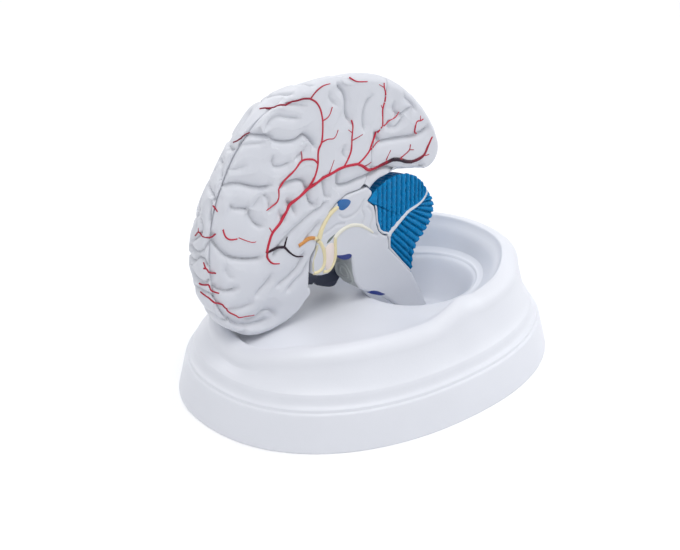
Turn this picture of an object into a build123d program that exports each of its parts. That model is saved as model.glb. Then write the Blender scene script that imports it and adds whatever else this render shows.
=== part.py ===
from build123d import *
import math
import os

# Half of a take-apart brain model, life size, resting in its moulded base.
# +X runs towards the back of the head, -Y is the open side of the cut, +Z is up.

# Base moulding, a thin wall that is open underneath
base_length = 270.0
base_width = 204.0
base_wall = 3.2
skirt_height = 24.0
skirt_inset = 5.5
ledge_rise = 3.5
ledge_inset = 10.5
side_wall_lean = 6.0
rim_roll = 9.0
rim_centre_inset = 29.5
side_rim_height = 60.0
rear_rim_height = 70.0
rim_step_start = -14.0
rim_step_end = 24.0
front_dip = 11.0
front_dip_width = 34.0
front_dip_start = -20.0
front_dip_end = -80.0
rim_turns = (0, 40, 80, 115, 150, 180)
under_rim_turns = (0, 90, 180)
deck_centre = 10.0
deck_length = 168.0
deck_width = 104.0
deck_height = 47.0
pit_centre = 47.0
pit_length = 84.0
pit_width = 74.0
pit_edge_height = 45.0
pit_edge_round = 6.0
pit_floor_height = 13.0
pit_draft = 9.0
plan_power = 2.2
outline_points = 52

# Brain: the datum sits behind the middle of the base, on the cut plane
brain_offset = -8.0
half_brain_width = 66.0
cut_edge_round = 5.5
lobe_centre = (-20.0, 150.0)
lobe_apex = (-30.0, 108.0)
dome_power = 0.95
upper_front_slope = 0.65
upper_front_angle = 165.0
upper_front_spread = 28.0
facet = 5.6

# Grooves between the folds
groove_depth = 2.6
groove_reach = 5.0
fissure_depth = 4.5

# Partings and pins
parting_gap = 0.3
stem_width = 20.0
pin_diameter = 4.0
pin_length = 16.0
pin_fit = 0.05
pin_clearance = 0.3
pin_end_gap = 0.5

lobe_pin_seats = [(-14.0, 34.0, 123.5), (0.0, 46.0, 125.9)]
stem_pin_seats = [(-14.0, 108.0), (-2.0, 88.0)]
cerebellum_pin_seats = [(16.8, 103.0), (28.0, 79.0)]
cerebellum_pin_side = 9.0
cerebellum_slide_angle = 12.0

# Brain stem: thickness from the cut plane, and the taper of the medulla
medulla_width = 11.0
medulla_start = 62.0
medulla_end = 36.0

# Cerebellum
cerebellum_width = 47.0
cerebellum_middle = (42.0, 95.0)
cerebellum_turns = (8, 24, 40, 56, 73)
rib_count = 13
rib_depth = 1.4

# Side outline of the cerebrum, from the frontal pole over the top and back under the temporal lobe
cerebrum_outline = [
    (-84, 49), (-100, 55), (-112, 67), (-119, 82), (-122, 101), (-121, 122), (-116, 143), (-107, 162),
    (-95, 179), (-78, 193), (-54, 202), (-26, 205), (2, 203), (25, 196), (46, 182), (63, 164),
    (73, 146), (75, 133), (67, 125), (56, 125), (45, 128), (33, 129), (20, 127), (12, 120),
    (11, 104), (12, 84), (8, 69), (-4, 61), (-20, 58), (-33, 60), (-39, 63), (-45, 59), (-54, 52.5), (-68, 49)]

# Parting between the upper and lower lobe pieces, from the front underside to the top
parting_line = [
    (-44, 30), (-41, 70), (-39.5, 88), (-36, 95), (-34.5, 103), (-30, 111), (-24, 117), (-18, 122), (-9, 125.5),
    (3, 126), (12, 134), (12.5, 150), (17, 160), (22, 164), (23.5, 180), (27, 197), (30, 225)]

# The bay in the lower lobe piece that takes the stem
stem_bay = [(-60, 30), (-60, 128), (7.6, 128), (14, 121.3), (14, 30)]

# Stem: up the front along the frontal lobe, under the callosum, down the back to the medulla and up the pons
stem_outline = [
    (-39, 79), (-38.8, 88), (-35.4, 94.8), (-33.9, 102.7), (-29.5, 110.5), (-23.6, 116.4), (-17.7, 121.4),
    (-8.8, 124.9), (3, 125.3), (9, 125.3), (12.8, 121.4), (12.6, 119.2), (8.6, 116), (14.9, 110.4), (16.3, 104),
    (17.0, 96.8), (18.9, 91.5), (22.8, 87.5), (27.2, 85.6), (27.9, 81.8), (28.3, 76), (49.2, 52.9), (56, 40), (61.5, 29), (65, 22), (49, 22), (40, 28), (31, 36), (24, 41.5),
    (16, 46.5), (8, 50.5), (2, 54.5), (-2, 61), (-4, 69), (-5, 80), (-12, 82), (-19, 85), (-21, 79),
    (-25, 74.5), (-31, 75), (-37, 77)]

# Cerebellum: the top edge, the edge of the white branch above and below, and the lower edge
cerebellum_tip = [(9.5, 115.8), (13, 118.6)]
upper_rib_ends = [(16.5, 121.2), (26, 125.8), (36, 127), (45, 125.8), (53, 121.8), (60, 115.5), (65, 107.5)]
upper_rib_roots = [(15.5, 110.8), (17, 104), (17.7, 97), (19.5, 92), (23, 88.6), (26.5, 88.4), (32, 90.5),
                   (39, 94.8), (46, 99.3), (54, 101.2), (60, 103.2), (65, 107)]
lower_rib_ends = [(66.5, 105.5), (69.5, 101), (71, 95), (69.5, 88), (66, 82), (61.5, 77), (56, 72.5), (52.5, 67),
                  (50.5, 60), (49.8, 53.5)]
lower_rib_roots = [(64, 103.5), (55, 98.9), (46, 96.9), (39, 92.6), (33, 88.2), (28.6, 85), (28.4, 80),
                   (28.8, 76.5)]
branch_root = (27.6, 86.8)

# Grooves on the cut face, as side view positions
cut_face_grooves = [
    [(-119, 128), (-110, 119), (-102, 111), (-90, 106), (-77, 103)],
    [(-112, 153), (-100, 157), (-93, 155), (-86, 151), (-76, 147), (-69, 148)],
    [(-103, 145), (-92, 137), (-87, 133), (-82, 126), (-74, 123)],
    [(-79, 140), (-72, 136), (-73, 130)],
    [(-87, 192), (-87, 186), (-73, 181), (-65, 176), (-50, 172)],
    [(-69, 193), (-55, 187), (-46, 185)],
    [(-44, 176), (-38, 169), (-33, 160), (-34, 148)],
    [(-68, 168), (-66, 159), (-54, 158)],
    [(-59, 145), (-47, 146), (-42, 142), (-40, 130), (-34, 125)],
    [(-58, 138), (-53, 129), (-52, 121)],
    [(-28, 140), (-26, 129)],
    [(-16, 144), (-15, 134), (0, 132.5), (15, 133)],
    [(-18, 202), (-12, 197), (-9, 190), (-9, 182), (-5, 174)],
    [(14, 187), (8, 182), (5, 170), (6, 160)],
    [(17, 160), (20, 155), (30, 154), (38, 151), (58, 150)],
    [(30, 176), (38, 168), (48, 172)],
    [(-58, 110), (-45, 119), (-30, 125)],
    [(-112, 107), (-104, 98), (-97, 96)],
    [(-110, 88), (-95, 83)],
    [(-86, 79), (-77, 85), (-72, 90)],
    [(-68, 79), (-56, 80), (-46, 89)],
    [(-61, 71), (-50, 77), (-43, 84)],
    [(-84, 65), (-72, 66), (-68, 58)],
    [(-100, 72), (-92, 59)],
    [(40, 142), (52, 141), (63, 143)]]

# Grooves on the outer side, as side view positions
outer_grooves = [
    [(-12, 202), (-22, 182), (-19, 166), (-30, 152), (-31, 138)],
    [(-38, 199), (-46, 182), (-44, 166), (-53, 150), (-51, 133)],
    [(10, 200), (2, 182), (5, 166), (-6, 150), (-7, 137)],
    [(-46, 182), (-60, 180), (-75, 173), (-88, 164), (-100, 150)],
    [(-53, 150), (-66, 149), (-79, 142), (-91, 131), (-100, 118)],
    [(-70, 193), (-82, 184), (-96, 172)],
    [(-114, 140), (-108, 128), (-110, 112), (-104, 98)],
    [(-56, 122), (-72, 116), (-86, 105), (-96, 93)],
    [(-47, 104), (-58, 94), (-70, 86), (-84, 72)],
    [(5, 166), (18, 171), (32, 168), (44, 160), (56, 152)],
    [(-34, 84), (-20, 96), (-6, 106), (8, 114)],
    [(-30, 72), (-14, 82), (2, 90)],
    [(28, 150), (40, 143), (52, 140), (66, 141)],
    [(36, 186), (38, 176), (48, 170), (54, 160)],
    [(14, 186), (22, 180), (30, 184)],
    [(-62, 166), (-74, 160), (-84, 151)],
    [(-28, 190), (-33, 172), (-38, 160)]]


def smooth_step(start, end, value):
    share = min(max((value - start) / (end - start), 0.0), 1.0)
    return share * share * (3.0 - 2.0 * share)


# Base


def rim_height(x, y):
    """The rim steps up towards the back and dips at the front, under the frontal lobe."""
    rise = (rear_rim_height - side_rim_height) * smooth_step(rim_step_start, rim_step_end, x)
    dip = front_dip * math.exp(-(y / front_dip_width) ** 2) * smooth_step(front_dip_start, front_dip_end, x)
    return side_rim_height + rise - dip


def base_ring(half_length, half_width, level, centre=0.0, on_rim=False, power=plan_power):
    points = []
    for i in range(outline_points):
        turn = 2 * math.pi * i / outline_points
        c, s = math.cos(turn), math.sin(turn)
        x = centre + half_length * math.copysign(abs(c) ** (2 / power), c)
        y = half_width * math.copysign(abs(s) ** (2 / power), s)
        lift = rim_height(x, y) if on_rim else 0.0
        points.append((x, y, level + lift))
    return points


def base_skin(depth, turns, shoulder):
    """Rings of the skin that lies a depth inside the outer face, from the foot over the rim to the pit floor."""
    a, b = base_length / 2 - depth, base_width / 2 - depth
    ledge_height = skirt_height + ledge_rise
    wall_inset = ledge_inset + side_wall_lean
    wall_height = (ledge_height + side_rim_height - rim_roll) / 2
    rings = [base_ring(a, b, 0),
             base_ring(a - skirt_inset, b - skirt_inset, skirt_height - depth / 3),
             base_ring(a - ledge_inset, b - ledge_inset, ledge_height - depth / 3),
             base_ring(a - wall_inset, b - wall_inset, wall_height)]
    roll = rim_roll - depth
    for turn in turns:
        inset = rim_centre_inset - depth - roll * math.cos(math.radians(turn))
        level = roll * math.sin(math.radians(turn)) - rim_roll
        rings.append(base_ring(a - inset, b - inset, level, on_rim=True))
    a, b = pit_length / 2 + depth, pit_width / 2 + depth
    rings.append(base_ring((deck_length + depth) / 2, (deck_width + depth) / 2, deck_height - depth,
                           deck_centre, power=2))
    rings.append(base_ring(a - depth / 2, b - depth / 2, pit_edge_height - depth * 0.8, pit_centre, power=2))
    if shoulder:
        inset = pit_edge_round / 2
        rings.append(base_ring(a - inset, b - inset, pit_edge_height - pit_edge_round, pit_centre, power=2))
    rings.append(base_ring(a - pit_draft, b - pit_draft, pit_floor_height - depth, pit_centre, power=2))
    return rings


def make_base():
    outer = base_skin(0.0, rim_turns, True)
    under = base_skin(base_wall, under_rim_turns, False)
    faces = [Face(Wire.make_polygon(outer[0], close=True), [Wire.make_polygon(under[0], close=True)])]
    for skin in (outer, under):
        faces.append(Face(Wire.make_polygon(skin[-1], close=True)))
        for low, high in zip(skin, skin[1:]):
            for k in range(outline_points):
                for corners in ((low[k - 1], low[k], high[k]), (low[k - 1], high[k], high[k - 1])):
                    faces.append(Face(Wire.make_polygon(corners, close=True)))
    return Solid(Shell(faces))


# Carved forms: a closed mesh of rings, with the grooves pressed in


def side_radius(outline, centre, angle):
    """Distance from the centre to a smooth curve through the outline, at an angle in the side view."""
    rows = sorted((math.atan2(z - centre[1], x - centre[0]), math.hypot(x - centre[0], z - centre[1]))
                  for x, z in outline)
    count = len(rows)
    angle = (angle + math.pi) % (2 * math.pi) - math.pi
    after = sum(1 for row in rows if row[0] <= angle)
    near = []
    for k in range(after - 2, after + 2):
        row = rows[k % count]
        near.append((row[0] + 2 * math.pi * (k // count), row[1]))
    (a0, r0), (a1, r1), (a2, r2), (a3, r3) = near
    s = (angle - a1) / (a2 - a1)
    slope1 = (r2 - r0) / (a2 - a0) * (a2 - a1)
    slope2 = (r3 - r1) / (a3 - a1) * (a2 - a1)
    return ((2 * s**3 - 3 * s**2 + 1) * r1 + (s**3 - 2 * s**2 + s) * slope1
            + (3 * s**2 - 2 * s**3) * r2 + (s**3 - s**2) * slope2)


def cerebrum_point(angle, level):
    """Level 0 to 1 crosses the cut face, 1 to 2 rounds its edge, 2 to 3 goes over the dome to the apex."""
    full = side_radius(cerebrum_outline, lobe_centre, angle)
    flat = full - cut_edge_round
    cx, cz = lobe_centre
    if level <= 1:
        radius, y = flat * level, 0.0
    elif level <= 2:
        turn = (level - 1) * math.pi / 2
        radius = flat + cut_edge_round * math.sin(turn)
        y = cut_edge_round * (1 - math.cos(turn))
    else:
        turn = (level - 2) * math.pi / 2
        lean = (math.degrees(angle) % 360 - upper_front_angle) / upper_front_spread
        power = dome_power + upper_front_slope * math.exp(-lean * lean)
        shrink = max(math.cos(turn), 0.0)
        radius = full * shrink
        y = cut_edge_round + (half_brain_width - cut_edge_round) * math.sin(turn) ** power
        cx += (lobe_apex[0] - cx) * (1 - shrink)
        cz += (lobe_apex[1] - cz) * (1 - shrink)
    return (cx + radius * math.cos(angle), y, cz + radius * math.sin(angle))


def on_dome(x, z):
    """The point of the dome that a side view position falls on."""
    low, high = 2.0, 3.0
    for _ in range(30):
        level = (low + high) / 2
        shrink = math.cos((level - 2) * math.pi / 2)
        cx = lobe_centre[0] + (lobe_apex[0] - lobe_centre[0]) * (1 - shrink)
        cz = lobe_centre[1] + (lobe_apex[1] - lobe_centre[1]) * (1 - shrink)
        angle = math.atan2(z - cz, x - cx)
        point = cerebrum_point(angle, level)
        if math.hypot(point[0] - cx, point[2] - cz) > math.hypot(x - cx, z - cz):
            low = level
        else:
            high = level
    return cerebrum_point(angle, level)


def spread(corners, step=1.5):
    """Points a step apart along a line of corners."""
    points = []
    for start, end in zip(corners, corners[1:]):
        count = max(1, round(math.dist(start, end) / step))
        points += [tuple(s + (e - s) * i / count for s, e in zip(start, end)) for i in range(count)]
    return points + [corners[-1]]


def rounded(corners):
    """Corners cut once, so that a groove bends instead of turning sharply."""
    points = [corners[0]]
    for start, end in zip(corners, corners[1:]):
        points.append(tuple(0.75 * s + 0.25 * e for s, e in zip(start, end)))
        points.append(tuple(0.25 * s + 0.75 * e for s, e in zip(start, end)))
    return points + [corners[-1]]


def ring(shape, level, size):
    """Points round one level of a shape, about a facet apart."""
    probe = [shape(2 * math.pi * i / 48, level) for i in range(49)]
    length = sum(math.dist(a, b) for a, b in zip(probe, probe[1:]))
    count = max(6, round(length / size))
    fine = [shape(2 * math.pi * i / 360, level) for i in range(361)]
    reach = [0.0]
    for a, b in zip(fine, fine[1:]):
        reach.append(reach[-1] + math.dist(a, b))
    points, k = [], 0
    for i in range(count):
        goal = reach[-1] * i / count
        while reach[k + 1] < goal:
            k += 1
        share = (goal - reach[k]) / (reach[k + 1] - reach[k])
        points.append(shape(2 * math.pi * (k + share) / 360, level))
    return points


def stitch(first, second):
    """Triangles between two rings, each a list of point numbers that starts at the same angle."""
    n, m = len(first), len(second)
    i = j = 0
    triangles = []
    while i < n or j < m:
        if j == m or (i < n and (i + 1) / n <= (j + 1) / m):
            triangles.append((first[i % n], first[(i + 1) % n], second[j % m]))
            i += 1
        else:
            triangles.append((first[i % n], second[(j + 1) % m], second[j % m]))
            j += 1
    return triangles


def ring_mesh(shape, levels, size):
    """A closed mesh from the middle of the cut face to the apex of the dome."""
    points = [shape(0.0, levels[0])]
    triangles = []
    last = [0]
    for level in levels[1:-1]:
        ring_points = ring(shape, level, size)
        numbers = list(range(len(points), len(points) + len(ring_points)))
        points += ring_points
        if len(last) == 1:
            triangles += [(last[0], numbers[k], numbers[k - 1]) for k in range(len(numbers))]
        else:
            triangles += stitch(last, numbers)
        last = numbers
    points.append(shape(0.0, levels[-1]))
    top = len(points) - 1
    triangles += [(last[k - 1], last[k], top) for k in range(len(last))]
    return points, triangles


def facet_normal(points, corners):
    a, b, c = (Vector(*points[k]) for k in corners)
    return (b - a).cross(c - a)


def press_grooves(points, triangles, grooves, size):
    """Moves the nearest points onto each groove's line, then presses them in along the surface normal."""
    normals = [Vector(0, 0, 0) for _ in points]
    for corners in triangles:
        normal = facet_normal(points, corners)
        for k in corners:
            normals[k] = normals[k] + normal
    lines = [(point, depth) for line, depth in grooves for point in line]
    near = []
    for k, point in enumerate(points):
        best, goal, depth = groove_reach * 2, None, 0.0
        for other, other_depth in lines:
            if abs(other[0] - point[0]) < best and abs(other[2] - point[2]) < best:
                gap = math.dist(point, other)
                if gap < best:
                    best, goal, depth = gap, other, other_depth
        near.append((best, k, goal, depth))
    around = [[] for _ in points]
    for corners in triangles:
        for k in corners:
            around[k].append(corners)
    moved = list(points)
    for row, (gap, k, goal, depth) in sorted(enumerate(near), key=lambda item: item[1][0]):
        if goal is None or gap > size * 0.6:
            continue
        before = [facet_normal(moved, corners) for corners in around[k]]
        kept, moved[k] = moved[k], goal
        after = [facet_normal(moved, corners) for corners in around[k]]
        if all(new.dot(old) > 0.3 * old.length ** 2 for new, old in zip(after, before)):
            near[row] = (0.0, k, goal, depth)
        else:
            moved[k] = kept
    result = []
    for gap, k, goal, depth in near:
        press = depth * (1 - gap / groove_reach) ** 2 if gap < groove_reach else 0.0
        inward = normals[k].normalized() * press
        result.append((moved[k][0] - inward.X, moved[k][1] - inward.Y, moved[k][2] - inward.Z))
    return result


def faceted_solid(points, triangles):
    faces = []
    for corners in triangles:
        faces.append(Face(Wire.make_polygon([points[k] for k in corners], close=True)))
    return Solid(Shell(faces))


def parting_block(shift, above):
    """Everything above, or below and behind, the parting line, moved off it by a shift."""
    line = [(x - shift, z + shift) for x, z in parting_line]
    if above:
        corners = line + [(-200, 225 + shift), (-200, 30 + shift)]
    else:
        corners = line + [(200, 225 + shift), (200, 30 + shift)]
    outline = Wire.make_polygon([(x, -20, z) for x, z in corners], close=True)
    return Solid.extrude(Face(outline), Vector(0, half_brain_width + 40, 0))


def make_cerebrum():
    flat_rings = round(side_radius(cerebrum_outline, lobe_centre, math.pi) / facet)
    dome_rings = round(1.7 * half_brain_width / facet)
    levels = [k / flat_rings for k in range(flat_rings + 1)]
    levels += [1.5]
    levels += [2 + k / dome_rings for k in range(dome_rings + 1)]
    points, triangles = ring_mesh(cerebrum_point, levels, facet)
    grooves = []
    for corners in cut_face_grooves:
        line = [(x, 0.0, z) for x, z in rounded(corners)]
        grooves.append((spread(line), groove_depth))
    for corners in outer_grooves:
        grooves.append((spread([on_dome(x, z) for x, z in rounded(corners)]), groove_depth))
    fissure = [on_dome(x, z) for x, z in spread(parting_line[2:-1], 4.0)]
    grooves.append((spread(fissure), fissure_depth))
    points = press_grooves(points, triangles, grooves, facet)
    return faceted_solid(points, triangles)


# Lobe pieces, brain stem and cerebellum


def side_prism(corners, start, end):
    """A prism across the brain with a side view outline."""
    outline = Wire.make_polygon([(x, start, z) for x, z in corners], close=True)
    return Solid.extrude(Face(outline), Vector(0, end - start, 0))


def pin_solid(seat, direction, diameter, length):
    plane = Plane(origin=seat, z_dir=direction)
    return Solid.make_cylinder(diameter / 2, length, plane)


def pin_hole(seat, direction, clearance, depth):
    return pin_solid(seat, direction, pin_diameter + 2 * clearance, depth)


def make_upper_lobes(cerebrum):
    piece = cerebrum - parting_block(parting_gap / 2, False)
    for seat in lobe_pin_seats:
        start = (seat[0], seat[1], seat[2] - 5)
        depth = pin_length / 2 + 5 + pin_end_gap
        piece = piece - pin_hole(start, (0, 0, 1), pin_clearance, depth)
    return piece


def make_lower_lobes(cerebrum):
    piece = cerebrum - parting_block(-parting_gap / 2, True)
    piece = piece - side_prism(stem_bay, -10, stem_width + parting_gap)
    for seat in lobe_pin_seats:
        start = (seat[0], seat[1], seat[2] - pin_length / 2)
        piece = piece - pin_hole(start, (0, 0, 1), pin_fit, pin_length)
    for seat in stem_pin_seats:
        start = (seat[0], stem_width, seat[1])
        piece = piece - pin_hole(start, (0, 1, 0), pin_fit, pin_length / 2)
    return piece


def slide_direction():
    turn = math.radians(cerebellum_slide_angle)
    return (math.cos(turn), 0.0, -math.sin(turn))


def along(seat, distance):
    """A point on a cerebellum pin's axis, a distance past its seat."""
    way = slide_direction()
    return (seat[0] + way[0] * distance, cerebellum_pin_side, seat[1] + way[2] * distance)


def make_stem():
    piece = side_prism(stem_outline, 0, stem_width)
    taper = Wire.make_polygon([(-60, stem_width + 1, medulla_start), (-60, stem_width + 1, 0),
                               (-60, medulla_width, 0), (-60, medulla_width, medulla_end),
                               (-60, stem_width, medulla_start)], close=True)
    piece = piece - Solid.extrude(Face(taper), Vector(160, 0, 0))
    for seat in stem_pin_seats:
        start = (seat[0], stem_width - pin_length / 2 - pin_end_gap, seat[1])
        piece = piece - pin_hole(start, (0, 1, 0), pin_clearance, pin_length)
    for seat in cerebellum_pin_seats:
        piece = piece - pin_hole(along(seat, -pin_length / 2), slide_direction(), pin_fit, pin_length)
    return piece


def line_samples(corners, count):
    """Points at even distances along a line of corners."""
    reach = [0.0]
    for a, b in zip(corners, corners[1:]):
        reach.append(reach[-1] + math.dist(a, b))
    samples = []
    for i in range(count + 1):
        goal = reach[-1] * i / count
        k = max(j for j in range(len(corners) - 1) if reach[j] <= goal + 1e-9)
        share = (goal - reach[k]) / (reach[k + 1] - reach[k])
        samples.append(tuple(a + (b - a) * share for a, b in zip(corners[k], corners[k + 1])))
    return samples


def height_at(corners, x):
    for (x0, z0), (x1, z1) in zip(corners, corners[1:]):
        if x0 <= x <= x1:
            return z0 + (z1 - z0) * (x - x0) / (x1 - x0)
    return corners[-1][1]


def pulled_in(place, distance):
    """A place on the outline moved towards the middle of the cerebellum."""
    cx, cz = cerebellum_middle
    share = 1 - distance / math.dist(place, cerebellum_middle)
    return (cx + (place[0] - cx) * share, cz + (place[1] - cz) * share)


def cerebellum_face():
    """The cut face, two fans of ribs either side of the white branch: points, triangles and the loop round it."""
    steps = 2 * rib_count
    upper_ends = line_samples(upper_rib_ends, steps)
    upper_roots = [(x, height_at(upper_rib_roots, x)) for x, _ in upper_ends]
    lower_ends = line_samples(lower_rib_ends, steps)
    lower_roots = line_samples(lower_rib_roots, steps)
    points, triangles = [], []

    def add(place, depth=0.0):
        points.append((place[0], depth, place[1]))
        return len(points) - 1

    def end_row(row):
        return [add(pulled_in(place, rib_depth), rib_depth) if i % 2 else add(place) for i, place in enumerate(row)]

    def root_row(row):
        return [add(place, rib_depth / 2 if i % 2 else 0.0) for i, place in enumerate(row)]

    def strip(first, second):
        for k in range(len(first) - 1):
            triangles.append((first[k], second[k], first[k + 1]))
            triangles.append((first[k + 1], second[k], second[k + 1]))

    tips = [add(place) for place in cerebellum_tip]
    front = add(upper_rib_roots[0])
    branch = add(branch_root)
    ends, lower = end_row(upper_ends), end_row(lower_ends)
    roots, lower_in = root_row(upper_roots), root_row(lower_roots)
    strip(ends, roots)
    strip(lower, lower_in)
    triangles.append((tips[0], front, tips[1]))
    triangles.append((tips[1], front, roots[0]))
    triangles.append((tips[1], roots[0], ends[0]))
    turn = max(i for i, place in enumerate(upper_roots) if place[0] < branch_root[0])
    bend = max(i for i, place in enumerate(lower_roots) if place[1] > branch_root[1] - 2)
    above = [branch] + roots[turn:] + [ends[-1]]
    below = [branch] + lower_in[:bend + 1][::-1] + [lower[0]]
    i = j = 0
    n, m = len(above) - 1, len(below) - 1
    while i < n or j < m:
        if j == m or (i < n and (i + 1) / n <= (j + 1) / m):
            corners = (above[i], below[j], above[i + 1])
            i += 1
        else:
            corners = (above[i], below[j], below[j + 1])
            j += 1
        if len(set(corners)) == 3:
            triangles.append(corners)
    loop = tips + ends + lower + lower_in[bend:][::-1] + [branch] + roots[:turn + 1][::-1] + [front]
    return points, triangles, loop


def cerebellum_mesh():
    points, triangles, loop = cerebellum_face()
    cx, cz = cerebellum_middle
    last = loop
    for degrees in cerebellum_turns:
        turn = math.radians(degrees)
        side = cerebellum_width * math.sin(turn) ** dome_power
        numbers = list(range(len(points), len(points) + len(loop)))
        for k in loop:
            x, _, z = points[k]
            points.append((cx + (x - cx) * math.cos(turn), side, cz + (z - cz) * math.cos(turn)))
        for k in range(len(loop)):
            triangles.append((last[k - 1], last[k], numbers[k]))
            triangles.append((last[k - 1], numbers[k], numbers[k - 1]))
        last = numbers
    points.append((cx, cerebellum_width, cz))
    triangles += [(last[k - 1], last[k], len(points) - 1) for k in range(len(loop))]
    heart = Vector(cx, cerebellum_width / 3, cz)
    turned = []
    for corners in triangles:
        middle = sum((Vector(*points[k]) for k in corners), Vector(0, 0, 0)) / 3
        out = facet_normal(points, corners).dot(middle - heart) > 0
        turned.append(corners if out else corners[::-1])
    return points, turned


def make_cerebellum():
    piece = faceted_solid(*cerebellum_mesh())
    for seat in cerebellum_pin_seats:
        depth = pin_length / 2 + pin_end_gap + 3
        piece = piece - pin_hole(along(seat, -3), slide_direction(), pin_clearance, depth)
    return piece


def make_lobe_pins():
    half = pin_length / 2
    return [pin_solid((x, y, z - half), (0, 0, 1), pin_diameter, pin_length) for x, y, z in lobe_pin_seats]


def make_stem_pins():
    start = stem_width - pin_length / 2
    return [pin_solid((x, start, z), (0, 1, 0), pin_diameter, pin_length) for x, z in stem_pin_seats]


def make_cerebellum_pins():
    half = pin_length / 2
    return [pin_solid(along(seat, -half), slide_direction(), pin_diameter, pin_length)
            for seat in cerebellum_pin_seats]


def save(name, solids):
    """Writes one piece; the brain's own datum is moved to its place over the base."""
    placed = [Pos(brain_offset, 0, 0) * solid for solid in solids]
    export_step(placed[0] if len(placed) == 1 else Compound(children=placed), "parts/" + name + ".step")


if __name__ == "__main__":
    os.makedirs("parts", exist_ok=True)
    export_step(make_base(), "parts/base.step")
    cerebrum = make_cerebrum()
    save("frontal_parietal_lobes", [make_upper_lobes(cerebrum)])
    save("temporal_occipital_lobes", [make_lower_lobes(cerebrum)])
    save("brainstem_half", [make_stem()])
    save("cerebellum_half", [make_cerebellum()])
    save("lobe_pins", make_lobe_pins())
    save("brainstem_pins", make_stem_pins())
    save("cerebellum_pins", make_cerebellum_pins())
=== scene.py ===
import math

import bmesh
import bpy
import numpy as np
from bpy.props import FloatProperty, FloatVectorProperty, IntProperty, PointerProperty
from mathutils import Matrix, Vector, kdtree, noise
from mathutils.bvhtree import BVHTree


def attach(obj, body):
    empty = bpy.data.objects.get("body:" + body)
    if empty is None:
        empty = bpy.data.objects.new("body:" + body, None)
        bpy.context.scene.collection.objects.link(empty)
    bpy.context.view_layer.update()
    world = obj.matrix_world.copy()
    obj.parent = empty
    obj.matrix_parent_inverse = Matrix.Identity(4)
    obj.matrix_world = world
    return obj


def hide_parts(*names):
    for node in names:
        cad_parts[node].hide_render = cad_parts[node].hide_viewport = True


bl_info = {
    "name": "Brain Anatomy Model",
    "version": (1, 0, 0),
    "blender": (4, 5, 0),
    "location": "View3D > Sidebar > Brain Model",
    "description": "Half of a take-apart brain model with painted arteries, resting in its moulded base",
    "category": "Mesh",
}

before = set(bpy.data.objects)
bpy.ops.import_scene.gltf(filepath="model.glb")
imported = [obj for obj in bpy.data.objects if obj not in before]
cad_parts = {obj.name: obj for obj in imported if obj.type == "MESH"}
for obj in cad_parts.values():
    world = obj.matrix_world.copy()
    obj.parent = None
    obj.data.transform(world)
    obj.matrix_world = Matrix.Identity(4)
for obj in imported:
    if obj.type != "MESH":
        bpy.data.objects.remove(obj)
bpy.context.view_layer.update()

# The forms are worked out in millimetres about the brain's own datum, as in the part's source,
# and then moved into the frame in metres
MODEL_TO_FRAME = Matrix.Translation((-0.008, 0.0, 0.0)) @ Matrix.Scale(0.001, 4)
BASE_TO_FRAME = Matrix.Scale(0.001, 4)

# Cerebrum
LOBE_CENTRE = (-20.0, 150.0)
LOBE_APEX = (-30.0, 108.0)
HALF_WIDTH = 66.0
EDGE_ROUND = 5.5
DOME_POWER = 0.95
FRONT_SLOPE, FRONT_ANGLE, FRONT_SPREAD = 0.65, 165.0, 28.0
CEREBRUM_OUTLINE = [
    (-84, 49), (-100, 55), (-112, 67), (-119, 82), (-122, 101), (-121, 122), (-116, 143), (-107, 162),
    (-95, 179), (-78, 193), (-54, 202), (-26, 205), (2, 203), (25, 196), (46, 182), (63, 164),
    (73, 146), (75, 133), (67, 125), (56, 125), (45, 128), (33, 129), (20, 127), (12, 120),
    (11, 104), (12, 84), (8, 69), (-4, 61), (-20, 58), (-33, 60), (-39, 63), (-45, 59), (-54, 52.5), (-68, 49)]
CROWN_FALL = 3.2
PARTING_LINE = [
    (-44, 30), (-41, 70), (-39.5, 88), (-36, 95), (-34.5, 103), (-30, 111), (-24, 117), (-18, 122), (-9, 125.5),
    (3, 126), (12, 134), (12.5, 150), (17, 160), (22, 164), (23.5, 180), (27, 197), (30, 225)]
PARTING_GAP = 0.3
LIP_DROP = 14.0
STEM_WIDTH = 20.0
STEM_BAY = [(-60, 30), (-60, 128), (7.6, 128), (14, 121.3), (14, 30)]
PIN_HOLE_RADIUS = 2.35
LOBE_PIN_SEATS = [(-14.0, 34.0, 123.5), (0.0, 46.0, 125.9)]
STEM_PIN_SEATS = [(-14.0, 108.0), (-2.0, 88.0)]
CEREBELLUM_PIN_SEATS = [(16.8, 103.0), (28.0, 79.0)]
CEREBELLUM_PIN_SIDE = 9.0
CEREBELLUM_SLIDE = (math.cos(math.radians(12)), 0.0, -math.sin(math.radians(12)))

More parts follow.
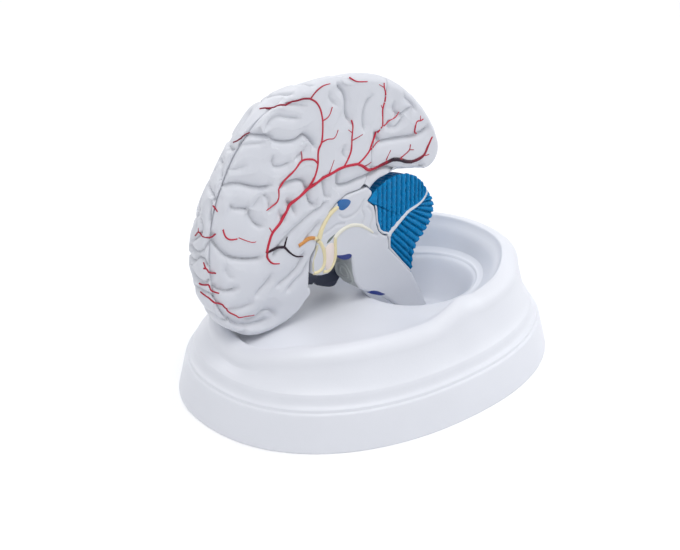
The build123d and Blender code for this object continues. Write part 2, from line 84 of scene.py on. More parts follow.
# Grooves on the cut face: how deep each is, in shares of the groove depth, and its side view positions
CUT_FACE_GROOVES = [
    (1.0, [(-118, 132), (-115.7, 129), (-113, 122), (-105.7, 112), (-97, 107), (-87, 103.6), (-77, 102)]),
    (1.0, [(-117, 153), (-111, 155.7), (-98.6, 156.4), (-91.4, 154.3), (-84, 150.7), (-75.7, 148), (-68.6, 147.5)]),
    (0.8, [(-103, 145), (-98.6, 140.7), (-94.3, 139.3), (-88.6, 137), (-85.7, 130.7), (-81.4, 125), (-75.7, 122)]),
    (0.6, [(-78.6, 145), (-73, 140.7), (-71.4, 135), (-73, 131)]),
    (0.5, [(-88.6, 137), (-83, 139), (-79, 144)]),
    (1.0, [(-88.5, 189), (-87, 186), (-83, 183.5), (-71, 180), (-66, 176), (-58, 173), (-50, 172), (-44, 174),
           (-41.5, 173), (-37, 168.5), (-33, 162)]),
    (0.7, [(-97, 186), (-88.5, 189), (-86, 192), (-77, 198), (-68, 200)]),
    (0.6, [(-74, 184), (-69, 189), (-63, 190.5), (-56, 188), (-45.7, 185)]),
    (0.7, [(-68.6, 168), (-68, 162), (-66, 159), (-60, 158), (-52.9, 159.3)]),
    (0.5, [(-52.9, 159.3), (-45, 163), (-41, 168)]),
    (1.0, [(-63, 143.5), (-60, 145.7), (-50, 145.7), (-44.3, 143.6), (-41.7, 139.3), (-40.7, 135), (-39.3, 129.3),
           (-36, 125.5), (-33, 124.7)]),
    (0.8, [(-59.3, 137), (-55.7, 132), (-52.5, 128), (-51.4, 122)]),
    (0.6, [(-66, 131), (-62, 125), (-60, 119)]),
    (0.8, [(-30, 143.6), (-28, 139.3), (-27, 132), (-25.7, 128.6), (-22, 127.5)]),
    (1.0, [(-16.4, 143.6), (-16, 138), (-15.7, 134.5), (-14, 132.9), (-7, 132), (1.4, 132.9), (12.9, 133.6),
           (21.4, 135.5), (27, 134.6), (34.3, 130.7), (41.4, 128), (50, 126.5), (60, 127)]),
    (0.9, [(-17, 202), (-13, 197), (-10.3, 193.6), (-8.6, 188), (-8.6, 180.7), (-7, 176.4), (-4.3, 172)]),
    (0.6, [(-10, 160), (-11.5, 154), (-9, 150)]),
    (0.7, [(14, 187), (9.3, 183.6), (6.4, 178), (5.7, 172), (6.4, 163)]),
    (1.0, [(14, 163), (18.6, 156.4), (21.4, 154), (30, 153), (41.4, 151.5), (48.6, 150.5), (58, 151), (66, 154)]),
    (0.7, [(31, 179), (33, 172), (37, 168), (43, 169.5), (49, 172)]),
    (0.7, [(26, 168), (28, 163), (33, 160.5), (38, 163), (40, 168)]),
    (0.6, [(40, 183), (43, 178), (49, 172), (53, 166)]),
    (0.7, [(-72, 99), (-66, 105), (-58.6, 110), (-50, 115), (-38.6, 119.8), (-30, 123), (-24.3, 125.5)]),
    (0.6, [(-46, 103), (-40, 106.5), (-35.7, 109.6), (-31, 114)]),
    (0.5, [(-108.6, 106.4), (-104.3, 98), (-100, 95)]),
    (0.9, [(-117, 97), (-112, 91), (-105, 88), (-97, 87.5)]),
    (0.7, [(-87, 77), (-81.4, 80.7), (-74.3, 85), (-72.9, 90)]),
    (0.7, [(-70, 79), (-63, 80.7), (-55.7, 83.6), (-50, 88), (-44.3, 96.4)]),
    (0.6, [(-61.4, 72), (-53, 78), (-46, 82), (-42, 90)]),
    (0.7, [(-96, 66), (-90, 62.5), (-84.3, 63), (-78.6, 65.3), (-73, 63.6), (-70, 60), (-69, 56)]),
    (0.6, [(-108, 76), (-101, 74), (-94, 73.5), (-86, 74)]),
    (0.5, [(-110, 178), (-103, 178), (-90, 178.6), (-73, 176.4)]),
    (0.5, [(-104, 167), (-96, 165), (-88, 165.5)]),
    (0.5, [(-60, 199), (-50, 195), (-41, 192)]),
    (0.5, [(-24, 198), (-21, 191), (-16, 186)])]

# Grooves along the rounded edge of the lobe and over its front, as bearings about the lobe centre in
# degrees and levels of the lobe surface
EDGE_GROOVES = [
    (0.7, [(128, 1.9), (136, 1.95), (147, 1.8), (155, 1.55), (164, 1.55), (172, 1.42), (178, 1.37), (186, 1.31),
           (192, 1.2), (198, 1.09), (204, 1.02), (210, 1.0), (216, 1.05), (222, 1.0), (228, 0.99), (234, 0.97),
           (240, 0.95)]),
    (0.9, [(154, 1.65), (158, 1.95), (160, 2.1), (158, 2.25)]),
    (0.9, [(173, 1.75), (171, 2.05), (167, 2.15), (165, 2.3)]),
    (0.9, [(178, 1.2), (180, 1.8), (178, 2.12), (176, 2.25)]),
    (0.9, [(188, 1.3), (187, 1.7), (183, 2.0), (180, 2.0)]),
    (0.8, [(187, 2.3), (189, 2.1), (192, 2.07), (195, 2.15), (198, 2.25)]),
    (0.8, [(194, 1.2), (196, 1.9), (199, 2.1), (200, 2.3)]),
    (0.9, [(203, 1.05), (202, 1.6), (200, 2.02), (203, 2.15), (205, 2.3)]),
    (0.9, [(208, 1.1), (207, 1.6), (208, 2.05), (206, 2.2)]),
    (0.9, [(215, 1.1), (212, 1.6), (211, 2.04), (213, 2.2), (210, 2.35)]),
    (0.8, [(224, 1.05), (222, 1.7), (219, 2.05), (221, 2.3)]),
    (0.8, [(232, 1.0), (231, 1.7), (227, 2.1), (229, 2.35)]),
    (0.8, [(120, 1.5), (122, 2.0), (126, 2.15), (124, 2.3)]),
    (0.8, [(104, 1.4), (106, 2.0), (103, 2.15)]),
    (0.8, [(78, 1.4), (79, 2.0), (83, 2.15)])]

# Main grooves on the outer side
OUTER_GROOVES = [
    [(-12, 202), (-22, 182), (-19, 166), (-30, 152), (-31, 138)],
    [(-38, 199), (-46, 182), (-44, 166), (-53, 150), (-51, 133)],
    [(10, 200), (2, 182), (5, 166), (-6, 150), (-7, 137)],
    [(-46, 182), (-60, 180), (-75, 173), (-88, 164), (-100, 150)],
    [(-53, 150), (-66, 149), (-79, 142), (-91, 131), (-100, 118)],
    [(-70, 193), (-82, 184), (-96, 172)],
    [(-114, 140), (-108, 128), (-110, 112), (-104, 98)],
    [(-56, 122), (-72, 116), (-86, 105), (-96, 93)],
    [(-47, 104), (-58, 94), (-70, 86), (-84, 72)],
    [(5, 166), (18, 171), (32, 168), (44, 160), (56, 152)],
    [(-34, 84), (-20, 96), (-6, 106), (8, 114)],
    [(-30, 72), (-14, 82), (2, 90)],
    [(28, 150), (40, 143), (52, 140), (66, 141)],
    [(36, 186), (38, 176), (48, 170), (54, 160)],
    [(14, 186), (22, 180), (30, 184)],
    [(-62, 166), (-74, 160), (-84, 151)],
    [(-28, 190), (-33, 172), (-38, 160)]]

# Arteries on the cut face: start and end radius, start and end darkness, and side view positions
ARTERIES = [
    (1.0, 1.0, 0.1, 0.0, [(-76, 105), (-74, 111), (-71, 117), (-65, 121), (-60, 126), (-56, 131), (-48, 135),
                          (-40, 138), (-32, 141), (-24, 143), (-12, 145), (0, 144)]),
    (1.0, 1.15, 0.0, 0.35, [(0, 144), (5, 141), (10, 137), (17, 136.5)]),
    (1.15, 1.5, 0.35, 0.9, [(17, 136.5), (25, 138), (31, 139)]),
    (1.5, 1.3, 0.9, 0.8, [(31, 139), (37, 137.5), (43, 134.5), (48, 133)]),
    (1.3, 0.6, 0.8, 0.2, [(48, 133), (53, 133), (59, 135), (62, 139), (67, 146)]),
    (0.9, 0.4, 0.3, 0.1, [(-75, 106), (-76, 103), (-74, 99), (-71, 96), (-66, 94.5)]),
    (0.5, 0.3, 0.2, 0.2, [(-71, 117), (-73, 121)]),
    (0.9, 0.9, 0.8, 1.0, [(-76, 105), (-70, 105.5), (-65, 105), (-61, 104)]),
    (0.7, 0.3, 1.0, 0.9, [(-61, 104), (-60, 107), (-58, 110)]),
    (0.8, 0.4, 1.0, 0.8, [(-61, 104), (-57, 99), (-52, 95), (-46, 93)]),
    (0.8, 0.6, 0.1, 0.1, [(-40, 138), (-36, 145), (-33.5, 152), (-33, 161), (-30, 165.5), (-29, 172),
                          (-29, 180)]),
    (0.6, 0.7, 0.1, 0.3, [(-29, 180), (-30.5, 187), (-34, 193), (-39, 196.5)]),
    (0.6, 0.3, 0.4, 0.2, [(-39, 196), (-34, 200), (-28, 202), (-22, 202)]),
    (0.7, 0.6, 0.1, 0.1, [(-33.5, 153), (-36, 156), (-40, 157.5), (-46, 158), (-52, 153.5), (-60, 148),
                          (-65, 144.5)]),
    (0.6, 0.35, 0.1, 0.1, [(-65, 144.5), (-65, 140), (-66, 136.5), (-70, 134.5), (-75, 133)]),
    (0.4, 0.3, 0.3, 0.3, [(-46, 158), (-45.5, 161), (-46, 164)]),
    (0.5, 0.3, 0.2, 0.2, [(-29, 180), (-25, 181), (-23, 183), (-21, 187)]),
    (0.5, 0.3, 0.2, 0.2, [(-30, 166), (-25, 167), (-20, 166), (-18, 168), (-16.5, 171)]),
    (0.4, 0.25, 0.2, 0.3, [(-24, 144), (-22, 148), (-20, 152)]),
    (0.7, 0.5, 0.1, 0.1, [(-12, 145), (-8, 150), (-5.5, 155), (-5, 161), (-4.5, 167), (-4, 171), (-5, 174.5)]),
    (0.4, 0.3, 0.3, 0.3, [(-5, 161), (0, 162), (4, 163)]),
    (0.35, 0.25, 0.2, 0.2, [(-5, 166.5), (-8, 169)]),
    (0.7, 0.6, 0.1, 0.1, [(0, 144), (5, 146.5), (10, 150.5), (12.5, 155), (16, 159), (20, 162), (21.5, 165)]),
    (0.6, 0.5, 0.1, 0.1, [(21.5, 165), (21.5, 176), (24, 181), (24, 186), (22.5, 190), (22.5, 193)]),
    (0.35, 0.25, 0.2, 0.2, [(22.5, 190), (18, 193)]),
    (0.5, 0.3, 0.1, 0.1, [(21, 163.5), (25, 165), (27, 166.5), (33, 167.5), (37, 170)]),
    (0.45, 0.3, 0.1, 0.1, [(10, 150.5), (14, 152), (17, 154.5), (20, 154.5)]),
    (0.35, 0.25, 0.2, 0.2, [(21.5, 176), (20, 179)]),
    (0.4, 0.25, 0.5, 0.5, [(5, 141), (8, 141), (12, 142)]),
    (0.35, 0.25, 0.3, 0.3, [(25, 140), (27, 143.5), (29, 146)]),
    (0.5, 0.3, 0.3, 0.3, [(38, 138.5), (43, 140.5), (46, 142), (47, 145.5)]),
    (0.35, 0.25, 0.3, 0.3, [(46, 142), (50, 141)]),
    (0.5, 0.5, 0.2, 0.1, [(54, 151), (51, 152.5), (51, 157), (52, 160.5), (54, 160.5), (55.5, 159.5),
                          (58, 160.5)]),
    (0.35, 0.25, 0.2, 0.2, [(55.5, 160), (55.5, 163.5)]),
    (0.4, 0.3, 0.2, 0.2, [(59, 135), (61, 134), (64, 134.5)]),
    (0.5, 0.4, 0.2, 0.2, [(-6, 202.5), (-4, 201), (-1, 199), (3, 198), (8, 197)]),
    (0.6, 0.5, 0.1, 0.0, [(-108, 130), (-107, 126), (-105, 123), (-102, 121.5), (-98, 121)]),
    (0.3, 0.3, 0.0, 0.0, [(-97, 121.5), (-90, 117), (-86, 115), (-84, 115)])]

# Arteries that run over the front of the lobe: points in the side view, and how far out of the cut plane
FRONT_ARTERIES = [
    (0.6, 0.7, 0.5, [(-72, 9, 198), (-69, 7, 197), (-63, 2, 198), (-56, 0, 197), (-49, 0, 197), (-44, 0, 197.5),
                     (-39, 0, 196.5)]),
    (0.55, 0.4, 0.6, [(-95, 9, 181), (-92, 5, 182), (-89, 3, 184), (-86, 2, 186)]),
    (0.6, 0.4, 0.3, [(-114, 2, 147), (-113, 1, 145), (-112, 0, 142)]),
    (0.55, 0.5, 0.4, [(-118, 19, 122), (-119, 13, 127), (-120, 6, 127), (-118, 1, 127), (-114, 0, 127.5)]),
    (0.5, 0.3, 0.3, [(-119, 13, 127), (-119, 13, 130)]),
    (0.6, 0.5, 0.3, [(-122, 4, 107), (-121, 2, 108), (-118, 0, 104), (-115, 0, 102)]),
    (0.5, 0.4, 0.3, [(-121, 2, 108), (-121, 4, 111)]),
    (0.6, 0.5, 0.3, [(-121, 12, 94), (-121, 6, 96), (-121, 2, 96), (-118, 0, 93), (-112, 0, 89)]),
    (0.6, 0.5, 0.3, [(-120, 13, 88), (-120, 3, 87), (-115, 0, 83), (-110, 0, 77.5), (-106, 0, 75)]),
    (0.5, 0.5, 0.2, [(-106, 0, 75), (-104, 0, 71), (-99, 0, 67)]),
    (0.5, 0.35, 0.2, [(-99, 0, 67), (-91, 0, 65), (-86, 0, 64)])]

# Stem
STEM_SHAPES_ROUND = 1.6
STEM_EDGE = [(15.6, 111), (16.9, 104), (17.6, 97), (19.4, 91.9), (22.9, 88.2), (27.4, 86.2), (28.6, 82), (28.9, 76.6),
             (49.6, 53.4)]
FORNIX = [(-17, 119), (-21, 117.5), (-25, 114.5), (-29, 110), (-31.5, 106), (-33, 101.5)]
OPTIC_STRIPE = [(-50, 101.8), (-46, 103), (-41, 104), (-37, 103.2)]
YELLOW_TURN = [(-37, 103.2), (-34.5, 101.5), (-32, 98.5), (-30.3, 95), (-29.2, 91), (-28.8, 87), (-29.2, 83),
               (-31, 80), (-34, 78.6), (-38, 78.8)]
YELLOW_BARREL_EDGE = [(-19.6, 99), (-19.8, 94), (-19.6, 88), (-20, 83.5), (-22.5, 79), (-26, 76.6), (-30, 77.4)]
PONS_EDGE = [(-20, 98), (-16, 101), (-10, 102.8), (-4, 102.6), (3, 100.2), (9, 96), (14, 92)]
CREAM_FIELD = [(-38.6, 80), (-38.4, 87), (-36, 93), (-34.6, 97.5), (-32, 96), (-30.4, 91), (-30, 86), (-31, 81.6),
               (-34, 79.6)]
BARREL = [(-28.2, 94), (-25, 95.6), (-21.4, 95), (-20.8, 89), (-21.6, 83), (-24, 78.6), (-27, 77.8), (-28.4, 82),
          (-28, 88)]
# Painted shade: a dark slate field for the shade in the narrow slit above the barrel
SLIT_SHADE = [(-27.5, 95.8), (-24, 97), (-20.6, 99.6), (-19.4, 101.2), (-22, 100.6), (-26, 98.6)]
BLUE_SPOT = [(-17.6, 119.6), (-16, 122.6), (-10.5, 122.8), (-6.2, 120.2), (-8, 117.2), (-12.5, 115.6),
             (-16, 117)]
NAVY_LEAF = [(-19, 85.6), (-13, 84.2), (-7.5, 83.4), (-5.3, 81.4), (-8, 79.6), (-14, 81.2)]
# Painted shade: a navy field for the dark shadowed gap under the pons' lower edge
FOOT_SHADE = [(9, 49.6), (13, 49.8), (18, 47.8), (22, 45.2), (25, 43.2), (21, 43.4), (17, 45.2), (12, 47.6)]
MIDBRAIN_GROOVES = [
    [(9, 112), (12, 108), (13, 103), (11, 98), (12, 93), (17, 89.5)],
    [(5, 117), (4, 111), (6, 106), (4, 101)],
    [(-16, 113), (-12, 110), (-6, 109.5), (0, 111.5), (4, 115)],
    [(-29, 104), (-24, 105), (-18, 107), (-12, 106)]]
# Scrolls on the stem's front wall, as distances from the cut plane and heights; they are laid in a grey-green that
# stands for painted shade
FRONT_SCROLLS = [
    [(17.6, 69.6), (19.2, 64), (18.4, 59.5), (13.3, 57.5), (7.2, 57.4), (3.4, 61.5), (4.4, 67.5), (8, 71.6),
     (13.3, 72.2), (17.6, 69.6)],
    [(13.3, 68.4), (15, 64), (11.6, 61.3), (7.4, 62.4), (8, 67.4), (11.6, 69.4), (13.3, 68.4)],
    [(2, 76), (6, 74.5), (10, 76), (15, 75), (19, 73)]]

# Cerebellum
CEREBELLUM_MIDDLE = (42.0, 95.0)
CEREBELLUM_WIDTH = 47.0
CEREBELLUM_TIP = [(9.5, 115.8), (13, 118.6)]
UPPER_RIB_ENDS = [(16.5, 121.2), (26, 125.8), (36, 127), (45, 125.8), (53, 121.8), (60, 115.5), (65, 107.5)]
UPPER_RIB_ROOTS = [(15.5, 110.8), (17, 104), (17.7, 97), (19.5, 92), (23, 88.6), (26.5, 88.4), (32, 90.5),
                   (39, 94.8), (46, 99.3), (54, 101.2), (60, 103.2), (65, 107)]
LOWER_RIB_ENDS = [(66.5, 105.5), (69.5, 101), (71, 95), (69.5, 88), (66, 82), (61.5, 77), (56, 72.5), (52.8, 67),
                  (51, 60), (50.4, 50.5)]
LOWER_RIB_ROOTS = [(64, 103.5), (55, 98.9), (46, 96.9), (39, 92.6), (33, 88.2), (28.6, 85), (28.4, 80),
                   (28.8, 76.5)]
WHITE_BRANCH = [(27.4, 85), (28.5, 87), (33, 90), (39, 94), (46, 98.2), (54, 100.2), (59, 102.4), (62.5, 106),
                (63.5, 109)]
BRANCH_EDGES = [
    [(27.8, 85), (28.2, 80), (28.6, 77.5), (34, 70), (42, 61), (48.6, 53.4)],
    [(27, 86.4), (23.2, 88), (19.4, 91.6), (17.5, 97), (16.8, 104), (15.4, 110.4)]]
RIB_COUNT = 13

# Base
BASE_LENGTH, BASE_WIDTH = 270.0, 204.0
SKIRT_HEIGHT, SKIRT_INSET = 24.0, 5.5
LEDGE_RISE, LEDGE_INSET = 3.5, 10.5
WALL_LEAN = 6.0
RIM_ROLL, RIM_INSET = 9.0, 29.5
SIDE_RIM, REAR_RIM = 60.0, 70.0
RIM_STEP = (-14.0, 24.0)
FRONT_DIP, DIP_WIDTH, DIP_START, DIP_END = 11.0, 34.0, -20.0, -80.0
DECK_CENTRE, DECK_LENGTH, DECK_WIDTH, DECK_HEIGHT = 10.0, 168.0, 104.0, 47.0
PIT_CENTRE, PIT_LENGTH, PIT_WIDTH = 47.0, 84.0, 74.0
PIT_EDGE, PIT_ROUND, PIT_FLOOR, PIT_DRAFT = 45.0, 6.0, 13.0, 9.0
NEAR_FALL = 5.0
PLAN_POWER = 2.2
BASE_WALL = 3.2

# Camera: where it looks in the frame, its bearing and height, and its distance
CAMERA_AIM = (-0.0238, 0.0, 0.0706)
CAMERA_AZIMUTH, CAMERA_ELEVATION, CAMERA_ROLL = -41.22, 25.52, -0.376
CAMERA_DISTANCE = 0.9414
CAMERA_LENS = 76.26
FLOOR_GLOW = 0.10


class BrainModelSettings(bpy.types.PropertyGroup):
    groove_depth: FloatProperty(
        name="Groove Depth", description="Depth of the grooves between the folds", default=0.0026,
        min=0.0, max=0.006, subtype="DISTANCE", unit="LENGTH")
    fold_swell: FloatProperty(
        name="Fold Swell", description="How far the folds fall away towards their grooves", default=0.0022,
        min=0.0, max=0.004, subtype="DISTANCE", unit="LENGTH")
    lobe_segments: IntProperty(
        name="Lobe Segments", description="Faces round the cut face's outline", default=520, min=64, max=800)
    lobe_rings: IntProperty(
        name="Lobe Rings", description="Rings from the cut face's middle to the outer side", default=250,
        min=32, max=400)
    artery_scale: FloatProperty(
        name="Artery Thickness", description="Thickness of the painted arteries", default=1.0,
        min=0.3, max=3.0, subtype="FACTOR")
    casting_colour: FloatVectorProperty(
        name="Casting", description="Colour of the white castings", default=(0.66, 0.675, 0.72),
        min=0.0, max=1.0, subtype="COLOR")
    base_colour: FloatVectorProperty(
        name="Base", description="Colour of the moulded base", default=(0.77, 0.785, 0.83),
        min=0.0, max=1.0, subtype="COLOR")
    cerebellum_colour: FloatVectorProperty(
        name="Cerebellum", description="Blue paint of the cerebellum", default=(0.0, 0.215, 0.50),
        min=0.0, max=1.0, subtype="COLOR")
    artery_colour: FloatVectorProperty(
        name="Artery", description="Red paint of the arteries", default=(0.52, 0.03, 0.06),
        min=0.0, max=1.0, subtype="COLOR")


def settings():
    return bpy.context.scene.brain_model


# Lines and distances


def smooth_line(corners, step=0.6):
    """Points about a step apart on a curve through the corners."""
    pts = np.array(corners, float)
    if len(pts) == 2:
        count = max(2, int(np.linalg.norm(pts[1] - pts[0]) / step) + 1)
        return pts[0] + (pts[1] - pts[0]) * np.linspace(0, 1, count)[:, None]
    before, after = 2 * pts[0] - pts[1], 2 * pts[-1] - pts[-2]
    pts = np.vstack([before, pts, after])
    out = []
    for k in range(1, len(pts) - 2):
        p0, p1, p2, p3 = pts[k - 1:k + 3]
        count = max(1, int(np.linalg.norm(p2 - p1) / step))
        t = (np.arange(count) / count)[:, None]
        out.append(0.5 * (2 * p1 + (p2 - p0) * t + (2 * p0 - 5 * p1 + 4 * p2 - p3) * t**2
                          + (3 * p1 - p0 - 3 * p2 + p3) * t**3))
    return np.vstack(out + [pts[-2:-1]])


def closed_line(corners, step=0.6):
    return smooth_line(list(corners) + [corners[0]], step)[:-1]


def nearest(points, samples):
    """Distance from each point to the nearest sample, and that sample's number."""
    tree = kdtree.KDTree(len(samples))
    for k, sample in enumerate(samples):
        tree.insert(sample, k)
    tree.balance()
    found = [tree.find(p) for p in points]
    return np.array([f[2] for f in found]), np.array([f[1] for f in found])


def smooth_step(start, end, value):
    t = np.clip((value - start) / (end - start), 0, 1)
    return t * t * (3 - 2 * t)


# Cerebrum


def radius_along(outline, centre, angles):
    """Distances from the centre to a smooth curve through the outline."""
    rows = np.array(sorted((math.atan2(z - centre[1], x - centre[0]), math.hypot(x - centre[0], z - centre[1]))
                           for x, z in outline))
    turn = 2 * math.pi
    a = np.concatenate([rows[-2:, 0] - turn, rows[:, 0], rows[:2, 0] + turn])
    r = np.concatenate([rows[-2:, 1], rows[:, 1], rows[:2, 1]])
    angles = (angles + math.pi) % turn - math.pi
    k = np.searchsorted(a, angles, side="right") - 1
    wide = a[k + 1] - a[k]
    s = (angles - a[k]) / wide
    slope1 = (r[k + 1] - r[k - 1]) / (a[k + 1] - a[k - 1]) * wide
    slope2 = (r[k + 2] - r[k]) / (a[k + 2] - a[k]) * wide
    return ((2 * s**3 - 3 * s**2 + 1) * r[k] + (s**3 - 2 * s**2 + s) * slope1
            + (3 * s**2 - 2 * s**3) * r[k + 1] + (s**3 - s**2) * slope2)


def lobe_surface(angle, level):
    """Level 0 to 1 crosses the cut face, 1 to 2 rounds its edge, 2 to 3 goes over the dome."""
    full = radius_along(CEREBRUM_OUTLINE, LOBE_CENTRE, angle)
    flat = full - EDGE_ROUND
    edge = np.clip(level - 1, 0, 1) * math.pi / 2
    dome = np.clip(level - 2, 0, 1) * math.pi / 2
    shrink = np.cos(dome)
    lean = (np.degrees(angle) % 360 - FRONT_ANGLE) / FRONT_SPREAD
    power = DOME_POWER + FRONT_SLOPE * np.exp(-lean**2)
    radius = np.where(level <= 1, flat * level, np.where(level <= 2, flat + EDGE_ROUND * np.sin(edge), full * shrink))
    side = np.where(level <= 2, EDGE_ROUND * (1 - np.cos(edge)),
                    EDGE_ROUND + (HALF_WIDTH - EDGE_ROUND) * np.sin(dome) ** power)
    bearing = np.degrees(angle) % 360
    crown = smooth_step(135, 95, bearing) + smooth_step(345, 360, bearing)
    radius = radius - CROWN_FALL * crown * smooth_step(2, 22, side) * shrink
    cx = LOBE_CENTRE[0] + (LOBE_APEX[0] - LOBE_CENTRE[0]) * (1 - shrink)
    cz = LOBE_CENTRE[1] + (LOBE_APEX[1] - LOBE_CENTRE[1]) * (1 - shrink)
    return np.stack([cx + radius * np.cos(angle), side, cz + radius * np.sin(angle)], 1)


def on_dome(places):
    """The points of the dome that side view places fall on."""
    places = np.array(places, float)
    low, high = np.full(len(places), 2.0), np.full(len(places), 3.0)
    for _ in range(30):
        level = (low + high) / 2
        shrink = np.cos((level - 2) * math.pi / 2)
        cx = LOBE_CENTRE[0] + (LOBE_APEX[0] - LOBE_CENTRE[0]) * (1 - shrink)
        cz = LOBE_CENTRE[1] + (LOBE_APEX[1] - LOBE_CENTRE[1]) * (1 - shrink)
        angle = np.arctan2(places[:, 1] - cz, places[:, 0] - cx)
        point = lobe_surface(angle, level)
        inside = np.hypot(point[:, 0] - cx, point[:, 2] - cz) > np.hypot(places[:, 0] - cx, places[:, 1] - cz)
        low, high = np.where(inside, level, low), np.where(inside, high, level)
    return point


def edge_line(corners):
    """A line along the lobe's rounded edge from bearings and levels."""
    bearings, levels = smooth_line(corners, 0.35 if len(corners) > 10 else 0.06).T
    return smooth_line(lobe_surface(np.radians(bearings), levels)[::3], 0.6)


def groove_samples():
    """Points along every groove with the share of the full depth that each has, fading at its ends."""
    points, depths = [], []
    lines = [(share, [(x, 0, z) for x, z in smooth_line(corners)]) for share, corners in CUT_FACE_GROOVES]
    lines += [(1.15, on_dome(smooth_line(corners))) for corners in OUTER_GROOVES]
    lines += [(share, edge_line(corners)) for share, corners in EDGE_GROOVES]
    for share, line in lines:
        count = len(line)
        for k, point in enumerate(line):
            fade = min(1.0, (k + 1) / 8, (count - k) / 8)
            points.append(tuple(point))
            depths.append(share * fade)
    return points, np.array(depths)


def fold_noise(points):
    """Meandering valleys between small folds, for the outer side: 1 at a valley's bottom, 0 on a fold."""
    out = np.zeros(len(points))
    for k, p in enumerate(points):
        v = Vector(p)
        bend = noise.noise_vector(v / 30.0) * 9.0
        value = noise.noise((v + bend) / 21.0)
        out[k] = math.exp(-((value / 0.085) ** 2))
    return out


def uneven(points):
    """The slight waviness of a hand-finished casting."""
    return np.array([0.28 * noise.noise(Vector(p) / 9.0) + 0.35 * noise.noise(Vector(p) / 24.0) for p in points])


def read_points(mesh):
    co = np.zeros(len(mesh.vertices) * 3, np.float32)
    mesh.vertices.foreach_get("co", co)
    return co.reshape(-1, 3).astype(float)


def write_points(mesh, points):
    mesh.vertices.foreach_set("co", np.asarray(points, np.float32).ravel())
    mesh.update()


def read_normals(mesh):
    normals = np.zeros(len(mesh.vertices) * 3, np.float32)
    mesh.vertex_normals.foreach_get("vector", normals)
    return normals.reshape(-1, 3).astype(float)


def float_attribute(mesh, name, values):
    mesh.attributes.new(name, "FLOAT", "POINT").data.foreach_set("value", np.asarray(values, np.float32))


def sphere_form(name, segments, rings, surface):
    """A closed form: a sphere whose poles become the middle of the cut face and the apex of the dome."""
    shape = bmesh.new()
    bmesh.ops.create_uvsphere(shape, u_segments=segments, v_segments=rings, radius=1.0)
    mesh = bpy.data.meshes.new(name)
    shape.to_mesh(mesh)
    shape.free()
    ball = read_points(mesh)
    share = np.arccos(np.clip(ball[:, 2], -1, 1)) / math.pi
    angle = np.arctan2(ball[:, 1], ball[:, 0])
    level = np.interp(share, [0, 0.44, 0.50, 1], [0, 1, 2, 3])
    write_points(mesh, surface(angle, level))
    shape = bmesh.new()
    shape.from_mesh(mesh)
    bmesh.ops.recalc_face_normals(shape, faces=shape.faces)
    shape.to_mesh(mesh)
    shape.free()
    return bpy.data.objects.new(name, mesh)


def link(piece):
    bpy.context.scene.collection.objects.link(piece)
    return piece


def prism(name, corners, start, end):
    """A closed prism across the brain with a side view outline, to cut with."""
    shape = bmesh.new()
    face = shape.faces.new([shape.verts.new((x, start, z)) for x, z in corners])
    grown = bmesh.ops.extrude_face_region(shape, geom=[face])
    moved = [v for v in grown["geom"] if isinstance(v, bmesh.types.BMVert)]
    bmesh.ops.translate(shape, verts=moved, vec=(0, end - start, 0))
    bmesh.ops.recalc_face_normals(shape, faces=shape.faces)
    mesh = bpy.data.meshes.new(name)
    shape.to_mesh(mesh)
    shape.free()
    return link(bpy.data.objects.new(name, mesh))


def pin_cutter(name, start, direction, length):
    shape = bmesh.new()
    way = Vector(direction).normalized()
    turn = way.to_track_quat("Z", "Y").to_matrix().to_4x4()
    place = Matrix.Translation(Vector(start) + way * length / 2) @ turn
    bmesh.ops.create_cone(shape, cap_ends=True, segments=32, radius1=PIN_HOLE_RADIUS, radius2=PIN_HOLE_RADIUS,
                          depth=length, matrix=place)
    mesh = bpy.data.meshes.new(name)
    shape.to_mesh(mesh)
    shape.free()
    return link(bpy.data.objects.new(name, mesh))


def cut_away(piece, cutters):
    """The piece with each cutter's space taken out of it; the cutters are removed."""
    for cutter in cutters:
        modifier = piece.modifiers.new("cut", "BOOLEAN")
        modifier.operation = "DIFFERENCE"
        modifier.solver = "MANIFOLD"
        modifier.object = cutter
    bpy.context.view_layer.update()
    graph = bpy.context.evaluated_depsgraph_get()
    mesh = bpy.data.meshes.new_from_object(piece.evaluated_get(graph))
    piece.modifiers.clear()
    old = piece.data
    piece.data = mesh
    bpy.data.meshes.remove(old)
    for cutter in cutters:
        bpy.data.objects.remove(cutter)
    return piece


def parting_cutter(name, shift, above):
    line = [(x - shift, z + shift) for x, z in PARTING_LINE]
    far = -200 if above else 200
    corners = line + [(far, 225 + shift), (far, 30 + shift)]
    return prism(name, corners, -20, HALF_WIDTH + 20)


def round_parting(piece):
    """Rounds the upper lobes' edge along the parting: broadly down the frontal tail, finely over the stem."""
    points = read_points(piece.data)
    line = smooth_line(PARTING_LINE[1:11], 0.5)
    line = line[line[:, 0] < 9]
    distance, which = nearest(points * [1, 0, 1], [(x, 0, z) for x, z in line])
    radius = 1.2 + 2.8 * smooth_step(101, 90, line[which][:, 1])
    short = np.clip(radius - distance, 0, None)
    fall = radius - np.sqrt(np.clip(radius**2 - short**2, 0, None))
    points[:, 1] = np.maximum(points[:, 1], fall * (points[:, 1] < 5))
    write_points(piece.data, points)


def along(seat, distance):
    way = CEREBELLUM_SLIDE
    return (seat[0] + way[0] * distance, CEREBELLUM_PIN_SIDE, seat[1] + way[2] * distance)


